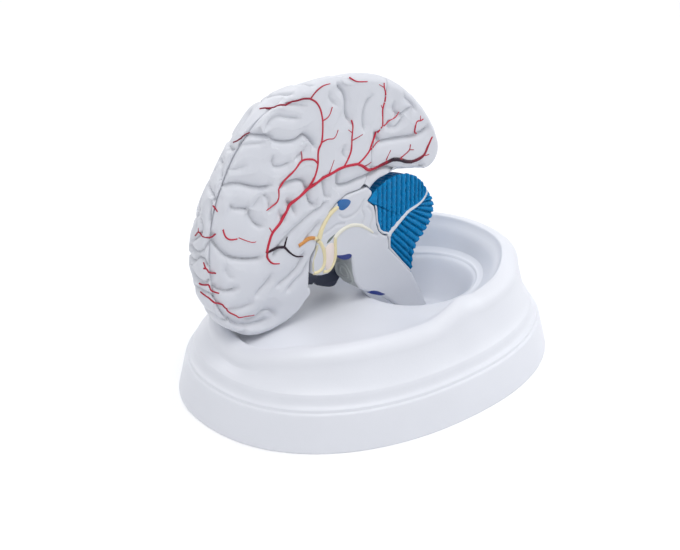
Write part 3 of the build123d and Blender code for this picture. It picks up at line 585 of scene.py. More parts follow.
def carved_cerebrum():
    options = settings()
    piece = sphere_form("cerebrum", options.lobe_segments, options.lobe_rings, lobe_surface)
    mesh = piece.data
    points, normals = read_points(mesh), read_normals(mesh)
    samples, depths = groove_samples()
    distance, which = nearest(points, samples)
    share = depths[which]
    outer = smooth_step(12, 24, points[:, 1])
    valley = fold_noise(points) * outer * (1 - np.clip(share, 0, 1) * np.exp(-((distance / 6) ** 2)))
    deep, swell = options.groove_depth * 1000, options.fold_swell * 1000
    line = 0.62 * np.exp(-((distance / 0.85) ** 2)) + 0.38 * np.exp(-((distance / 2.1) ** 2))
    press = share * (deep * (0.8 + 0.2 * outer) * line + swell * np.exp(-distance / 4.2))
    press += valley * (deep * 0.9 + swell * 0.4)
    rounding = edge_line(EDGE_GROOVES[0][1])
    apart, _ = nearest(points, rounding)
    press += 2.2 * np.exp(-((apart / 4.8) ** 2)) * smooth_step(40, 60, points[:, 2])
    # Painted shade: how far each point lies in a groove or valley, to darken the casting there where shade falls
    groove_shade = np.clip(share * line + valley, 0, 1)
    press += uneven(points)
    fissure = on_dome(smooth_line(PARTING_LINE[2:-1]))
    seam = np.vstack([[(x, 0, z) for x, z in smooth_line(PARTING_LINE[6:-1])], fissure])
    reach, _ = nearest(points, seam)
    press += 0.7 * np.exp(-((reach / 1.1) ** 2))
    points = points - normals * press[:, None]
    across = smooth_step(-27, 2, points[:, 0]) * smooth_step(15, 10, points[:, 0])
    low, side = np.clip((84 - points[:, 2]) / 16, 0, 1), (points[:, 1] - 28) / 13
    lip = across * low * np.exp(-(side**4))
    points[:, 2] -= LIP_DROP * lip
    write_points(mesh, points)
    float_attribute(mesh, "groove_shade", groove_shade)
    return piece


# Painted lines and patches


def surface_tree(pieces):
    graph = bpy.context.evaluated_depsgraph_get()
    return [(piece, BVHTree.FromObject(piece, graph)) for piece in pieces]


def tree_in_model(piece):
    """The tree of a piece that is in the frame already, in the model's own millimetres."""
    points = read_points(piece.data) * 1000 + [8, 0, 0]
    return BVHTree.FromPolygons([tuple(p) for p in points], [tuple(f.vertices) for f in piece.data.polygons])


def drop_on(trees, point):
    """Where a line across the brain from outside the cut face meets the first piece, and which piece that is."""
    best = None
    for piece, tree in trees:
        hit = tree.ray_cast(Vector((point[0], -60, point[2])), Vector((0, 1, 0)))
        if hit[0] is not None and (best is None or hit[0].y < best[1].y):
            best = (piece, hit[0], hit[1])
    if best is None:
        for piece, tree in trees:
            hit = tree.find_nearest(Vector(point))
            if hit[0] is not None and (best is None or hit[3] < best[3]):
                best = (piece, hit[0], hit[1], hit[3])
    return best[0], best[1], best[2]


def settle_on(trees, point):
    """The nearest point of any of the pieces, which piece it is on, and the way out of its surface."""
    best = None
    for piece, tree in trees:
        hit = tree.find_nearest(Vector(point))
        if hit[0] is not None and (best is None or hit[3] < best[3]):
            best = (piece, hit[0], hit[1], hit[3])
    return best[:3]


def painted_line(name, runs, sink=0.2):
    """One mesh of tapered raised lines. A run is a list of (point, way out, radius, darkness)."""
    curve = bpy.data.curves.new(name, "CURVE")
    curve.dimensions = "3D"
    curve.bevel_depth = 1.0
    curve.bevel_resolution = 2
    curve.use_fill_caps = True
    samples, shades = [], []
    for run in runs:
        if len(run) < 2:
            continue
        line = curve.splines.new("POLY")
        line.points.add(len(run) - 1)
        places = np.array([tuple(Vector(point) - Vector(out) * radius * sink) for point, out, radius, _ in run])
        for k, (_, _, radius, shade) in enumerate(run):
            reach = min(2, k, len(run) - 1 - k)
            place = Vector(places[k - reach:k + reach + 1].mean(0))
            line.points[k].co = (*place, 1)
            line.points[k].radius = radius
            samples.append(tuple(place))
            shades.append(shade)
    holder = link(bpy.data.objects.new(name, curve))
    bpy.context.view_layer.update()
    graph = bpy.context.evaluated_depsgraph_get()
    mesh = bpy.data.meshes.new_from_object(holder.evaluated_get(graph))
    bpy.data.objects.remove(holder)
    _, which = nearest(read_points(mesh), samples)
    float_attribute(mesh, "darkness", np.array(shades)[which])
    return link(bpy.data.objects.new(name, mesh))


def line_runs(trees, corners, radii, shades, on_cut_face=True):
    """A line laid on the pieces, split where it passes from one piece to the next."""
    line = smooth_line(corners, 0.8)
    share = np.linspace(0, 1, len(line))
    runs = {}
    last = None
    for s, place in zip(share, line):
        if on_cut_face:
            piece, point, out = drop_on(trees, (place[0], 0, place[1]))
        else:
            piece, point, out = settle_on(trees, place)
        radius = (radii[0] + (radii[1] - radii[0]) * s) * settings().artery_scale
        shade = shades[0] + (shades[1] - shades[0]) * s
        if piece is not last:
            runs.setdefault(piece.name, []).append([])
        runs[piece.name][-1].append((point, out, radius, shade))
        last = piece
    if on_cut_face:
        for run in (run for lines in runs.values() for run in lines):
            depths = [point.y for point, _, _, _ in run]
            for k, (point, out, radius, shade) in enumerate(run):
                point = Vector((point.x, min(depths[max(0, k - 3):k + 4]), point.z))
                run[k] = (point, Vector((0, -1, 0)), radius, shade)
    return runs


def patch(name, outline, depth, lift=0.25):
    """A painted field that stands a little proud of the cut face, with a rounded edge."""
    shape = bmesh.new()
    face = shape.faces.new([shape.verts.new((x, depth + 1.0, z)) for x, z in closed_line(outline, 0.8)])
    grown = bmesh.ops.extrude_face_region(shape, geom=[face])
    moved = [v for v in grown["geom"] if isinstance(v, bmesh.types.BMVert)]
    bmesh.ops.translate(shape, verts=moved, vec=(0, -1.0 - lift, 0))
    bmesh.ops.recalc_face_normals(shape, faces=shape.faces)
    top = [e for e in shape.edges if all(abs(v.co.y - (depth - lift)) < 1e-4 for v in e.verts)]
    bmesh.ops.bevel(shape, geom=top, offset=0.3, segments=2, affect="EDGES", profile=0.5, material=-1)
    mesh = bpy.data.meshes.new(name)
    shape.to_mesh(mesh)
    shape.free()
    return link(bpy.data.objects.new(name, mesh))


# Materials


def material(name, roughness, bump, bump_size, colour=None, coat=0.0, sheen_scale=1.0):
    """A painted or moulded plastic: its colour varies a little, and its skin has a fine texture."""
    made = bpy.data.materials.new(name)
    made.use_nodes = True
    nodes, links = made.node_tree.nodes, made.node_tree.links
    shader = nodes["Principled BSDF"]
    shader.inputs["Roughness"].default_value = roughness
    shader.inputs["Coat Weight"].default_value = coat
    shader.inputs["Coat Roughness"].default_value = 0.15
    where = nodes.new("ShaderNodeTexCoord")
    grain = nodes.new("ShaderNodeTexNoise")
    grain.inputs["Scale"].default_value = bump_size
    grain.inputs["Detail"].default_value = 3.0
    links.new(where.outputs["Object"], grain.inputs["Vector"])
    skin = nodes.new("ShaderNodeBump")
    skin.inputs["Strength"].default_value = bump
    skin.inputs["Distance"].default_value = 0.0004
    links.new(grain.outputs["Fac"], skin.inputs["Height"])
    links.new(skin.outputs["Normal"], shader.inputs["Normal"])
    cloud = nodes.new("ShaderNodeTexNoise")
    cloud.inputs["Scale"].default_value = 24.0 * sheen_scale
    links.new(where.outputs["Object"], cloud.inputs["Vector"])
    tone = nodes.new("ShaderNodeMix")
    tone.data_type = "RGBA"
    links.new(cloud.outputs["Fac"], tone.inputs["Factor"])
    tone.inputs["A"].default_value = (*[c * 0.965 for c in colour], 1)
    tone.inputs["B"].default_value = (*[min(1.0, c * 1.035) for c in colour], 1)
    links.new(tone.outputs["Result"], shader.inputs["Base Color"])
    return made


def tint_by(made, attribute, colour, low=0.0, high=1.0, strength=1.0):
    """Mixes a second colour in where a mesh attribute runs from low to high."""
    nodes, links = made.node_tree.nodes, made.node_tree.links
    shader = nodes["Principled BSDF"]
    before = shader.inputs["Base Color"].links[0].from_socket
    reader = nodes.new("ShaderNodeAttribute")
    reader.attribute_name = attribute
    ramp = nodes.new("ShaderNodeMapRange")
    ramp.inputs["From Min"].default_value = low
    ramp.inputs["From Max"].default_value = high
    ramp.inputs["To Max"].default_value = strength
    links.new(reader.outputs["Fac"], ramp.inputs["Value"])
    mix = nodes.new("ShaderNodeMix")
    mix.data_type = "RGBA"
    links.new(ramp.outputs["Result"], mix.inputs["Factor"])
    links.new(before, mix.inputs["A"])
    mix.inputs["B"].default_value = (*colour, 1)
    links.new(mix.outputs["Result"], shader.inputs["Base Color"])
    return made


def casting_material(name):
    colour = settings().casting_colour
    made = material(name, 0.42, 0.12, 900.0, colour)
    # Painted shade: the casting is darkened along its grooves and valleys
    return tint_by(made, "groove_shade", [c * 0.72 for c in colour], 0.15, 1.0, 0.55)


def finish_piece(piece, body, made, replaced=None, matrix=None):
    """Moves a piece into the frame, smooths its shading and ties it to its body."""
    piece.data.transform(MODEL_TO_FRAME if matrix is None else matrix)
    piece.data.materials.clear()
    piece.data.materials.append(made)
    piece.data.shade_smooth()
    piece.data.set_sharp_from_angle(angle=math.radians(50))
    if piece.name not in bpy.context.scene.collection.objects:
        link(piece)
    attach(piece, body)
    if replaced:
        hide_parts(replaced)
    return piece


# Base


def rim_height(x, y):
    near = smooth_step(-35, -62, y) * smooth_step(8, 30, x) * smooth_step(118, 80, x)
    rise = (REAR_RIM - SIDE_RIM) * smooth_step(RIM_STEP[0], RIM_STEP[1], x)
    dip = FRONT_DIP * math.exp(-(y / DIP_WIDTH) ** 2) * smooth_step(DIP_START, DIP_END, x)
    return SIDE_RIM + rise - dip - NEAR_FALL * near


def base_rings(depth):
    """Half length, half width, height, centre, whether it follows the rim, plan power and depth of each ring."""
    a, b = BASE_LENGTH / 2 - depth, BASE_WIDTH / 2 - depth
    ledge = SKIRT_HEIGHT + LEDGE_RISE
    rows = []

    def ring(inset, height, on_rim=False):
        rows.append((a - inset, b - inset, height, 0.0, on_rim, PLAN_POWER, depth))

    ring(0, 0)
    ring(0.05, 0.5)
    ring(0.3, 1.6)
    drop = depth / 3
    for inset, height in ((-0.9, -3.4), (-0.2, -1.0), (0.15, -0.25), (0.8, 0.2), (1.6, 0.35)):
        ring(SKIRT_INSET + inset, SKIRT_HEIGHT + height - drop)
    for inset, height in ((-3.4, -0.9), (-1.9, -0.55), (-0.8, 0.1), (0.0, 1.6), (0.6, 3.8), (1.1, 7.0)):
        ring(LEDGE_INSET + inset, ledge + height - drop)
    lean = LEDGE_INSET + WALL_LEAN
    ring(lean - 1.2, (ledge + SIDE_RIM - RIM_ROLL) / 2 - 3)
    roll = RIM_ROLL - depth
    for turn in (-12, 0, 20, 40, 60, 80):
        inset = RIM_INSET - depth - roll * math.cos(math.radians(turn))
        ring(inset, roll * math.sin(math.radians(turn)) - RIM_ROLL, True)
    for inset, height in ((0.08, 0.0), (0.22, -0.02), (0.29, -0.06), (0.34, -0.14), (0.39, -0.28), (0.62, -0.66),
                          (1.0, -1.0)):
        ring(RIM_INSET - depth + roll * inset, roll + roll * height - RIM_ROLL, True)
    rows.append(((DECK_LENGTH + depth) / 2 + 1.5, (DECK_WIDTH + depth) / 2 + 1.5, DECK_HEIGHT + 0.35 - depth,
                 DECK_CENTRE, False, 2, depth))
    rows.append(((DECK_LENGTH + depth) / 2 - 4, (DECK_WIDTH + depth) / 2 - 4, DECK_HEIGHT - 0.15 - depth,
                 DECK_CENTRE + 0.9, False, 2, depth))
    a, b = PIT_LENGTH / 2 + depth, PIT_WIDTH / 2 + depth
    for inset, height in ((-1.6, PIT_EDGE + 0.05), (0.2, PIT_EDGE - 0.7), (1.5, PIT_EDGE - 2.6),
                          (PIT_ROUND / 2 + 0.3, PIT_EDGE - PIT_ROUND - 1), (PIT_DRAFT - 1.5, PIT_FLOOR + 3.5),
                          (PIT_DRAFT + 0.4, PIT_FLOOR + 0.8), (PIT_DRAFT + 3, PIT_FLOOR)):
        rows.append((a - inset, b - inset, height - depth, PIT_CENTRE, False, 2, depth))
    return rows


def shape_ring(verts, row):
    half_length, half_width, level, centre, on_rim, power, thick = row
    for k, vert in enumerate(verts):
        turn = 2 * math.pi * k / len(verts)
        c, s = math.cos(turn), math.sin(turn)
        x = centre + half_length * math.copysign(abs(c) ** (2 / power), c)
        y = half_width * math.copysign(abs(s) ** (2 / power), s)
        height = level
        if on_rim:
            inside = half_length < BASE_LENGTH / 2 - RIM_INSET
            height = max(level + rim_height(x, y), DECK_HEIGHT - 2.5 - thick if inside else 0)
        vert.co = (x, y, height)


def base_skin(shape, rows, segments):
    """The whole moulding from one circle: down the inside from under the pit, and up the outside into it."""
    made = bmesh.ops.create_circle(shape, cap_ends=False, segments=segments, radius=1.0)
    ring = made["verts"]
    edges = list({e for v in ring for e in v.link_edges})
    shape_ring(ring, rows[0])
    shape.faces.new(ring)
    for row in rows[1:]:
        old = {v: k for k, v in enumerate(ring)}
        grown = bmesh.ops.extrude_edge_only(shape, edges=edges)
        new = [g for g in grown["geom"] if isinstance(g, bmesh.types.BMVert)]
        edges = [g for g in grown["geom"] if isinstance(g, bmesh.types.BMEdge)]
        order = {}
        for vert in new:
            below = next(e.other_vert(vert) for e in vert.link_edges if e.other_vert(vert) in old)
            order[old[below]] = vert
        ring = [order[k] for k in range(len(old))]
        shape_ring(ring, row)
    shape.faces.new(ring)


class BRAIN_OT_base(bpy.types.Operator):
    """Build the moulded base with its rolled rim, deck and pit"""
    bl_idname = "brain.base"
    bl_label = "Base"

    def execute(self, context):
        shape = bmesh.new()
        base_skin(shape, base_rings(BASE_WALL)[::-1] + base_rings(0.0), 144)
        bmesh.ops.recalc_face_normals(shape, faces=shape.faces)
        mesh = bpy.data.meshes.new("base_moulding")
        shape.to_mesh(mesh)
        shape.free()
        made = material("base_moulding", 0.38, 0.10, 700.0, settings().base_colour)
        piece = finish_piece(bpy.data.objects.new("base_moulding", mesh), "stand", made,
                             "base", BASE_TO_FRAME)
        smooth = piece.modifiers.new("smooth", "SUBSURF")
        smooth.levels = smooth.render_levels = 1
        return {"FINISHED"}


class BRAIN_OT_lobes(bpy.types.Operator):
    """Carve the cerebrum, part it into its two lobe pieces and lay the arteries on them"""
    bl_idname = "brain.lobes"
    bl_label = "Lobes and Arteries"

    def execute(self, context):
        cerebrum = link(carved_cerebrum())
        upper = link(bpy.data.objects.new("upper_lobes_cast", cerebrum.data.copy()))
        lower = link(bpy.data.objects.new("lower_lobes_cast", cerebrum.data.copy()))
        bpy.data.objects.remove(cerebrum)
        holes = [pin_cutter("hole", (x, y, z - 5), (0, 0, 1), 14.0) for x, y, z in LOBE_PIN_SEATS]
        cut_away(upper, [parting_cutter("parting", PARTING_GAP / 2, False)] + holes)
        bay = prism("bay", STEM_BAY, -12, STEM_WIDTH + PARTING_GAP)
        cut_away(lower, [parting_cutter("parting", -PARTING_GAP / 2, True), bay])
        round_parting(upper)
        trees = surface_tree([upper, lower])
        runs = {upper.name: [], lower.name: []}
        for start, end, shade0, shade1, corners in ARTERIES:
            for name, lines in line_runs(trees, corners, (start, end), (shade0, shade1)).items():
                runs[name] += lines
        for start, end, shade, corners in FRONT_ARTERIES:
            for name, lines in line_runs(trees, corners, (start, end), (shade, shade), False).items():
                runs[name] += lines
        paint = material("artery_paint", 0.4, 0.05, 900.0, settings().artery_colour)
        paint.node_tree.nodes["Principled BSDF"].inputs["Specular IOR Level"].default_value = 0.2
        tint_by(paint, "darkness", (0.020, 0.008, 0.018), 0.15, 0.85, 1.0)
        red_upper = painted_line("upper_arteries", runs[upper.name])
        red_lower = painted_line("lower_arteries", runs[lower.name])
        for piece in (upper, lower):
            place = read_points(piece.data)
            # Painted shade: the lower lobe's inner wall beside the stem, grey-green where it lies in shade
            wall = smooth_step(19.9, 20.2, place[:, 1]) * smooth_step(21.5, 20.5, place[:, 1])
            wall *= smooth_step(6, 2, place[:, 0]) * (place[:, 2] < 84) * (piece is lower)
            # Under the lower lobe near the stem: near-black navy, partly the navy paint of its underside and partly
            # painted shade
            under = smooth_step(14, 19.5, place[:, 1]) * smooth_step(46, 34, place[:, 1]) * (piece is lower)
            under *= smooth_step(67, 63, place[:, 2]) * smooth_step(-50, -44, place[:, 0])
            float_attribute(piece.data, "recess_shade", wall)
            float_attribute(piece.data, "under", under)
        cast = casting_material("lobe_casting")
        # Grey-green painted shade on that inner wall
        tint_by(cast, "recess_shade", (0.36, 0.40, 0.40), 0.1, 1.0, 0.9)
        # Near-black navy under the lower lobe: its navy paint together with painted shade
        tint_by(cast, "under", (0.018, 0.025, 0.055), 0.1, 0.9, 1.0)
        finish_piece(upper, "upper_lobes", cast, "frontal_parietal_lobes")
        finish_piece(lower, "stand", cast, "temporal_occipital_lobes")
        finish_piece(red_upper, "upper_lobes", paint)
        finish_piece(red_lower, "stand", paint)
        return {"FINISHED"}


class BRAIN_OT_stem(bpy.types.Operator):
    """Round the brain stem half and lay its coloured lines and fields on it"""
    bl_idname = "brain.stem"
    bl_label = "Brain Stem"

    def execute(self, context):
        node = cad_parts["brainstem_half"]
        shape = bmesh.new()
        shape.from_mesh(node.data)
        bmesh.ops.remove_doubles(shape, verts=shape.verts, dist=1e-6)
        mesh = bpy.data.meshes.new("stem_cast")
        shape.to_mesh(mesh)
        shape.free()
        mesh.transform(MODEL_TO_FRAME.inverted())
        piece = link(bpy.data.objects.new("stem_cast", mesh))
        remesh = piece.modifiers.new("even", "REMESH")
        remesh.mode = "VOXEL"
        remesh.voxel_size = 0.6
        bpy.context.view_layer.update()
        graph = bpy.context.evaluated_depsgraph_get()
        piece.data = bpy.data.meshes.new_from_object(piece.evaluated_get(graph))
        piece.modifiers.clear()
        mesh = piece.data
        points = read_points(mesh)
        front = points[:, 1] < 0.5
        rim = points[(points[:, 1] > 1.2) & (points[:, 1] < 2.2)]
        distance, _ = nearest(points, [tuple(p) for p in rim * [1, 0, 1]])
        flat = np.hypot(distance, 0)
        inward = np.clip(1 - flat / STEM_SHAPES_ROUND, 0, 1)
        press = STEM_SHAPES_ROUND * (1 - np.sqrt(np.clip(1 - inward**2, 0, 1)))
        points[:, 1] = np.where(front, points[:, 1] + press, points[:, 1])
        write_points(mesh, points)
        float_attribute(mesh, "groove_shade", np.zeros(len(points)))
        seams = [(x, 0, z) for corners in MIDBRAIN_GROOVES for x, z in smooth_line(corners)]
        apart, _ = nearest(points * [1, 0, 1], seams)
        groove = np.exp(-((apart / 0.9) ** 2)) * (points[:, 1] < 2)
        points[:, 1] += 0.7 * groove
        write_points(mesh, points)
        # Painted shade along the midbrain grooves, to darken the casting in them
        mesh.attributes["groove_shade"].data.foreach_set("value", np.asarray(groove * 0.6, np.float32))
        lobes = [bpy.data.objects["upper_lobes_cast"], bpy.data.objects["lower_lobes_cast"]]
        trees = surface_tree([piece]) + [(lobe, tree_in_model(lobe)) for lobe in lobes]
        cream, ochre, scrolls = [], [], []

        def lay(target, corners, start, end):
            for lines in line_runs(trees, corners, (start, end), (0, 0)).values():
                target.extend(lines)

        lay(cream, FORNIX, 1.3, 1.9)
        lay(cream, YELLOW_TURN, 1.5, 1.3)
        lay(cream, YELLOW_BARREL_EDGE, 1.4, 1.3)
        pale = []
        lay(pale, PONS_EDGE, 2.2, 1.0)
        lay(ochre, OPTIC_STRIPE, 1.5, 1.3)
        own = surface_tree([piece])
        for corners in FRONT_SCROLLS:
            run = []
            for y, z in smooth_line(corners, 0.8):
                hit = own[0][1].ray_cast(Vector((-40, y, z)), Vector((1, 0, 0)))
                if hit[0] is not None:
                    run.append((hit[0], hit[1], 0.95, 0))
            scrolls.append(run)
        # Painted shade: the stem's walls behind the cut face, low at its front, grey-green where they lie in shade
        front = smooth_step(0.6, 1.6, points[:, 1]) * smooth_step(79, 75, points[:, 2]) * smooth_step(52, 56, points[:, 2])
        float_attribute(mesh, "recess_shade", front * (points[:, 0] < 4))
        cast = casting_material("stem_casting")
        # Grey-green painted shade on those walls
        tint_by(cast, "recess_shade", (0.46, 0.49, 0.48), 0.1, 1.0, 0.9)
        finish_piece(piece, "stem", cast, "brainstem_half")
        yellow = material("cream_paint", 0.4, 0.05, 900.0, (0.78, 0.69, 0.43))
        ivory = material("ivory_paint", 0.4, 0.05, 900.0, (0.78, 0.76, 0.66))
        orange = material("ochre_paint", 0.4, 0.05, 900.0, (0.58, 0.25, 0.055))
        rose = material("rose_paint", 0.4, 0.05, 900.0, (0.82, 0.72, 0.67))
        blue = material("blue_field", 0.35, 0.05, 900.0, (0.008, 0.12, 0.36))
        # Navy: real paint on the leaf, and painted shade on the foot
        navy = material("navy_field", 0.4, 0.05, 900.0, (0.012, 0.03, 0.20))
        # Dark slate for the painted shade in the slit
        slate = material("slit_shade_paint", 0.5, 0.05, 900.0, (0.14, 0.17, 0.15))
        # Grey-green for painted shade on the scrolls of the stem's front wall
        scroll_shade = material("scroll_shade_paint", 0.5, 0.05, 900.0, (0.50, 0.53, 0.52))
        finish_piece(painted_line("cream_lines", cream, 0.3), "stem", yellow)
        finish_piece(painted_line("pons_edge", pale, 0.55), "stem", ivory)
        finish_piece(painted_line("ochre_stripe", ochre, 0.3), "upper_lobes", orange)
        # Painted shade: the scrolls are laid in a grey-green that stands for the shade they lie in
        finish_piece(painted_line("front_scrolls", scrolls, 0.4), "stem", scroll_shade)
        buff = material("buff_paint", 0.45, 0.05, 900.0, (0.64, 0.60, 0.43))
        finish_piece(patch("cream_field", CREAM_FIELD, 0.4, 0.3), "stem", buff)
        finish_piece(patch("barrel", BARREL, 0.5, 0.9), "stem", rose)
        # Painted shade: a dark field for the shade in the slit above the barrel
        finish_piece(patch("slit_shade", SLIT_SHADE, 0.1, 0.12), "stem", slate)
        finish_piece(patch("blue_spot", BLUE_SPOT, 0.1), "stem", blue)
        finish_piece(patch("navy_leaf", NAVY_LEAF, 0.1), "stem", navy)
        # Painted shade: a navy field for the shadowed gap under the pons
        finish_piece(patch("foot_shade", FOOT_SHADE, 0.1), "stem", navy)
        return {"FINISHED"}


# Cerebellum


def even_samples(corners, count):
    pts = np.array(corners, float)
    reach = np.concatenate([[0], np.cumsum(np.linalg.norm(np.diff(pts, axis=0), axis=1))])
    goal = np.linspace(0, reach[-1], count)
    return np.stack([np.interp(goal, reach, pts[:, 0]), np.interp(goal, reach, pts[:, 1])], 1)


def rib_lines():
    """The grooves between the ribs on the cut face, each from the branch to the outer edge."""
    upper_ends = even_samples(UPPER_RIB_ENDS, 2 * RIB_COUNT + 1)
    roots = np.array(UPPER_RIB_ROOTS)
    upper_roots = np.stack([upper_ends[:, 0], np.interp(upper_ends[:, 0], roots[:, 0], roots[:, 1])], 1)
    lower_ends = even_samples(LOWER_RIB_ENDS, 2 * RIB_COUNT + 1)
    lower_roots = even_samples(LOWER_RIB_ROOTS, 2 * RIB_COUNT + 1)
    lines = [(a, b) for a, b in zip(upper_roots[1::2], upper_ends[1::2])]
    lines += [(a, b) for a, b in zip(lower_roots[1::2], lower_ends[1::2])]
    return lines


def cerebellum_outline():
    loop = CEREBELLUM_TIP + UPPER_RIB_ENDS + LOWER_RIB_ENDS
    return loop + [(28.8, 76.5), (28.4, 80), (28.2, 83.5), (27.6, 86.8), (26.5, 88.4), (23, 88.6), (19.5, 92),
                   (17.7, 97), (17, 104), (15.5, 110.8)]


def loop_radius(loop, centre, angles):
    """Distances from the centre to a loop of straight edges."""
    dense = []
    for (x0, z0), (x1, z1) in zip(loop, loop[1:] + loop[:1]):
        for t in np.linspace(0, 1, 12, endpoint=False):
            dense.append((x0 + (x1 - x0) * t - centre[0], z0 + (z1 - z0) * t - centre[1]))
    dense = np.array(dense)
    a, r = np.arctan2(dense[:, 1], dense[:, 0]), np.hypot(dense[:, 0], dense[:, 1])
    order = np.argsort(a)
    return np.interp(angles, a[order], r[order], period=2 * math.pi)


def cerebellum_surface(angle, level):
    full = loop_radius(cerebellum_outline(), CEREBELLUM_MIDDLE, angle)
    ends = [end for _, end in rib_lines()]
    gaps = np.array([math.atan2(z - CEREBELLUM_MIDDLE[1], x - CEREBELLUM_MIDDLE[0]) for x, z in ends])
    apart = np.abs((angle[:, None] - gaps[None, :] + math.pi) % (2 * math.pi) - math.pi).min(1) * full
    notch = 0.5 * np.exp(-((apart / 0.7) ** 2)) * smooth_step(0.55, 1.0, level)
    full = full - notch
    edge = np.clip(level - 1, 0, 1) * math.pi / 2
    dome = np.clip(level - 2, 0, 1) * math.pi / 2
    flat = full - 1.6
    radius = np.where(level <= 1, flat * level, np.where(level <= 2, flat + 1.6 * np.sin(edge), full * np.cos(dome)))
    fall = 2.2 * smooth_step(-0.2, 0.5, np.sin(angle)) + 2.6 * smooth_step(0.1, -0.5, np.cos(angle))
    radius = radius - fall * smooth_step(1.7, 2.25, level) * np.cos(dome)
    side = np.where(level <= 2, 1.6 * (1 - np.cos(edge)), 1.6 + (CEREBELLUM_WIDTH - 1.6) * np.sin(dome) ** DOME_POWER)
    return np.stack([CEREBELLUM_MIDDLE[0] + radius * np.cos(angle), side,
                     CEREBELLUM_MIDDLE[1] + radius * np.sin(angle)], 1)


class BRAIN_OT_cerebellum(bpy.types.Operator):
    """Shape the cerebellum half with its fans of ribs and the white branch"""
    bl_idname = "brain.cerebellum"
    bl_label = "Cerebellum"

    def execute(self, context):
        piece = sphere_form("cerebellum_cast", 420, 150, cerebellum_surface)
        mesh = piece.data
        points = read_points(mesh)
        samples = []
        for root, end in rib_lines():
            for t in np.linspace(0, 1, 60):
                x, z = root + (end - root) * t
                samples.append((x, 0, z))
        distance, _ = nearest(points * [1, 0, 1], samples)
        branch = [(x, 0, z) for x, z in smooth_line(WHITE_BRANCH)]
        clear, _ = nearest(points * [1, 0, 1], branch)
        on_face = smooth_step(2.5, 0.5, points[:, 1])
        press = 1.5 * np.exp(-((distance / 0.8) ** 2)) * on_face * smooth_step(0.8, 2.4, clear)
        beads = np.array([noise.noise(Vector((p[0] * 0.9, 0, p[2] * 0.55))) for p in points])
        press += on_face * (0.30 * beads + 0.25 * np.sin(points[:, 2] * 0.9 + 4 * beads)) * smooth_step(0.8, 2.4, clear)
        press += on_face * 0.3
        points[:, 1] += press
        write_points(mesh, points)
        # Painted shade: the rib grooves darken the blue paint, by how deep they are pressed
        float_attribute(mesh, "groove_shade", np.clip(press / 1.7, 0, 1))
        link(piece)
        holes = [pin_cutter("hole", along(seat, -3), CEREBELLUM_SLIDE, 11.5) for seat in CEREBELLUM_PIN_SEATS]
        cut_away(piece, holes)
        trees = surface_tree([piece])
        runs = list(line_runs(trees, WHITE_BRANCH, (1.7, 0.7), (0, 0)).values())[0]
        for corners in BRANCH_EDGES:
            runs += list(line_runs(trees, corners, (0.9, 0.6), (0, 0)).values())[0]
        colour = settings().cerebellum_colour
        made = material("cerebellum_paint", 0.32, 0.35, 420.0, colour, 0.0, 3.0)
        made.node_tree.nodes["Principled BSDF"].inputs["Specular IOR Level"].default_value = 0.14
        # Painted shade in the rib grooves: the blue darkened to half
        tint_by(made, "groove_shade", [c * 0.5 for c in colour], 0.3, 1.0, 0.7)
        finish_piece(piece, "cerebellum", made, "cerebellum_half")
        white = material("branch_paint", 0.4, 0.05, 900.0, settings().casting_colour)
        finish_piece(painted_line("white_branch", runs, 0.25), "cerebellum", white)
        return {"FINISHED"}


class BRAIN_OT_pins(bpy.types.Operator):
    """Give the steel pins between the pieces their finish"""
    bl_idname = "brain.pins"
    bl_label = "Pins"

    def execute(self, context):
        made = material("pin_steel", 0.3, 0.2, 1500.0, (0.55, 0.55, 0.56))
        made.node_tree.nodes["Principled BSDF"].inputs["Metallic"].default_value = 1.0
        for name in ("lobe_pins", "brainstem_pins", "cerebellum_pins"):
            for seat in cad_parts[name].material_slots:
                seat.link = "OBJECT"
                seat.material = made
        return {"FINISHED"}


def white_seen_by_camera(tree):
    """1 for what the camera sees directly, in reflections or through glass, and 0 for what lights the object."""
    nodes, links = tree.nodes, tree.links
    path = nodes.new("ShaderNodeLightPath")
    glossy = nodes.new("ShaderNodeMath")
    glossy.operation = "MAXIMUM"
    links.new(path.outputs["Is Camera Ray"], glossy.inputs[0])
    links.new(path.outputs["Is Glossy Ray"], glossy.inputs[1])
    clear = nodes.new("ShaderNodeMath")
    clear.operation = "MAXIMUM"
    links.new(glossy.outputs[0], clear.inputs[0])
    links.new(path.outputs["Is Transmission Ray"], clear.inputs[1])
    return clear.outputs[0]


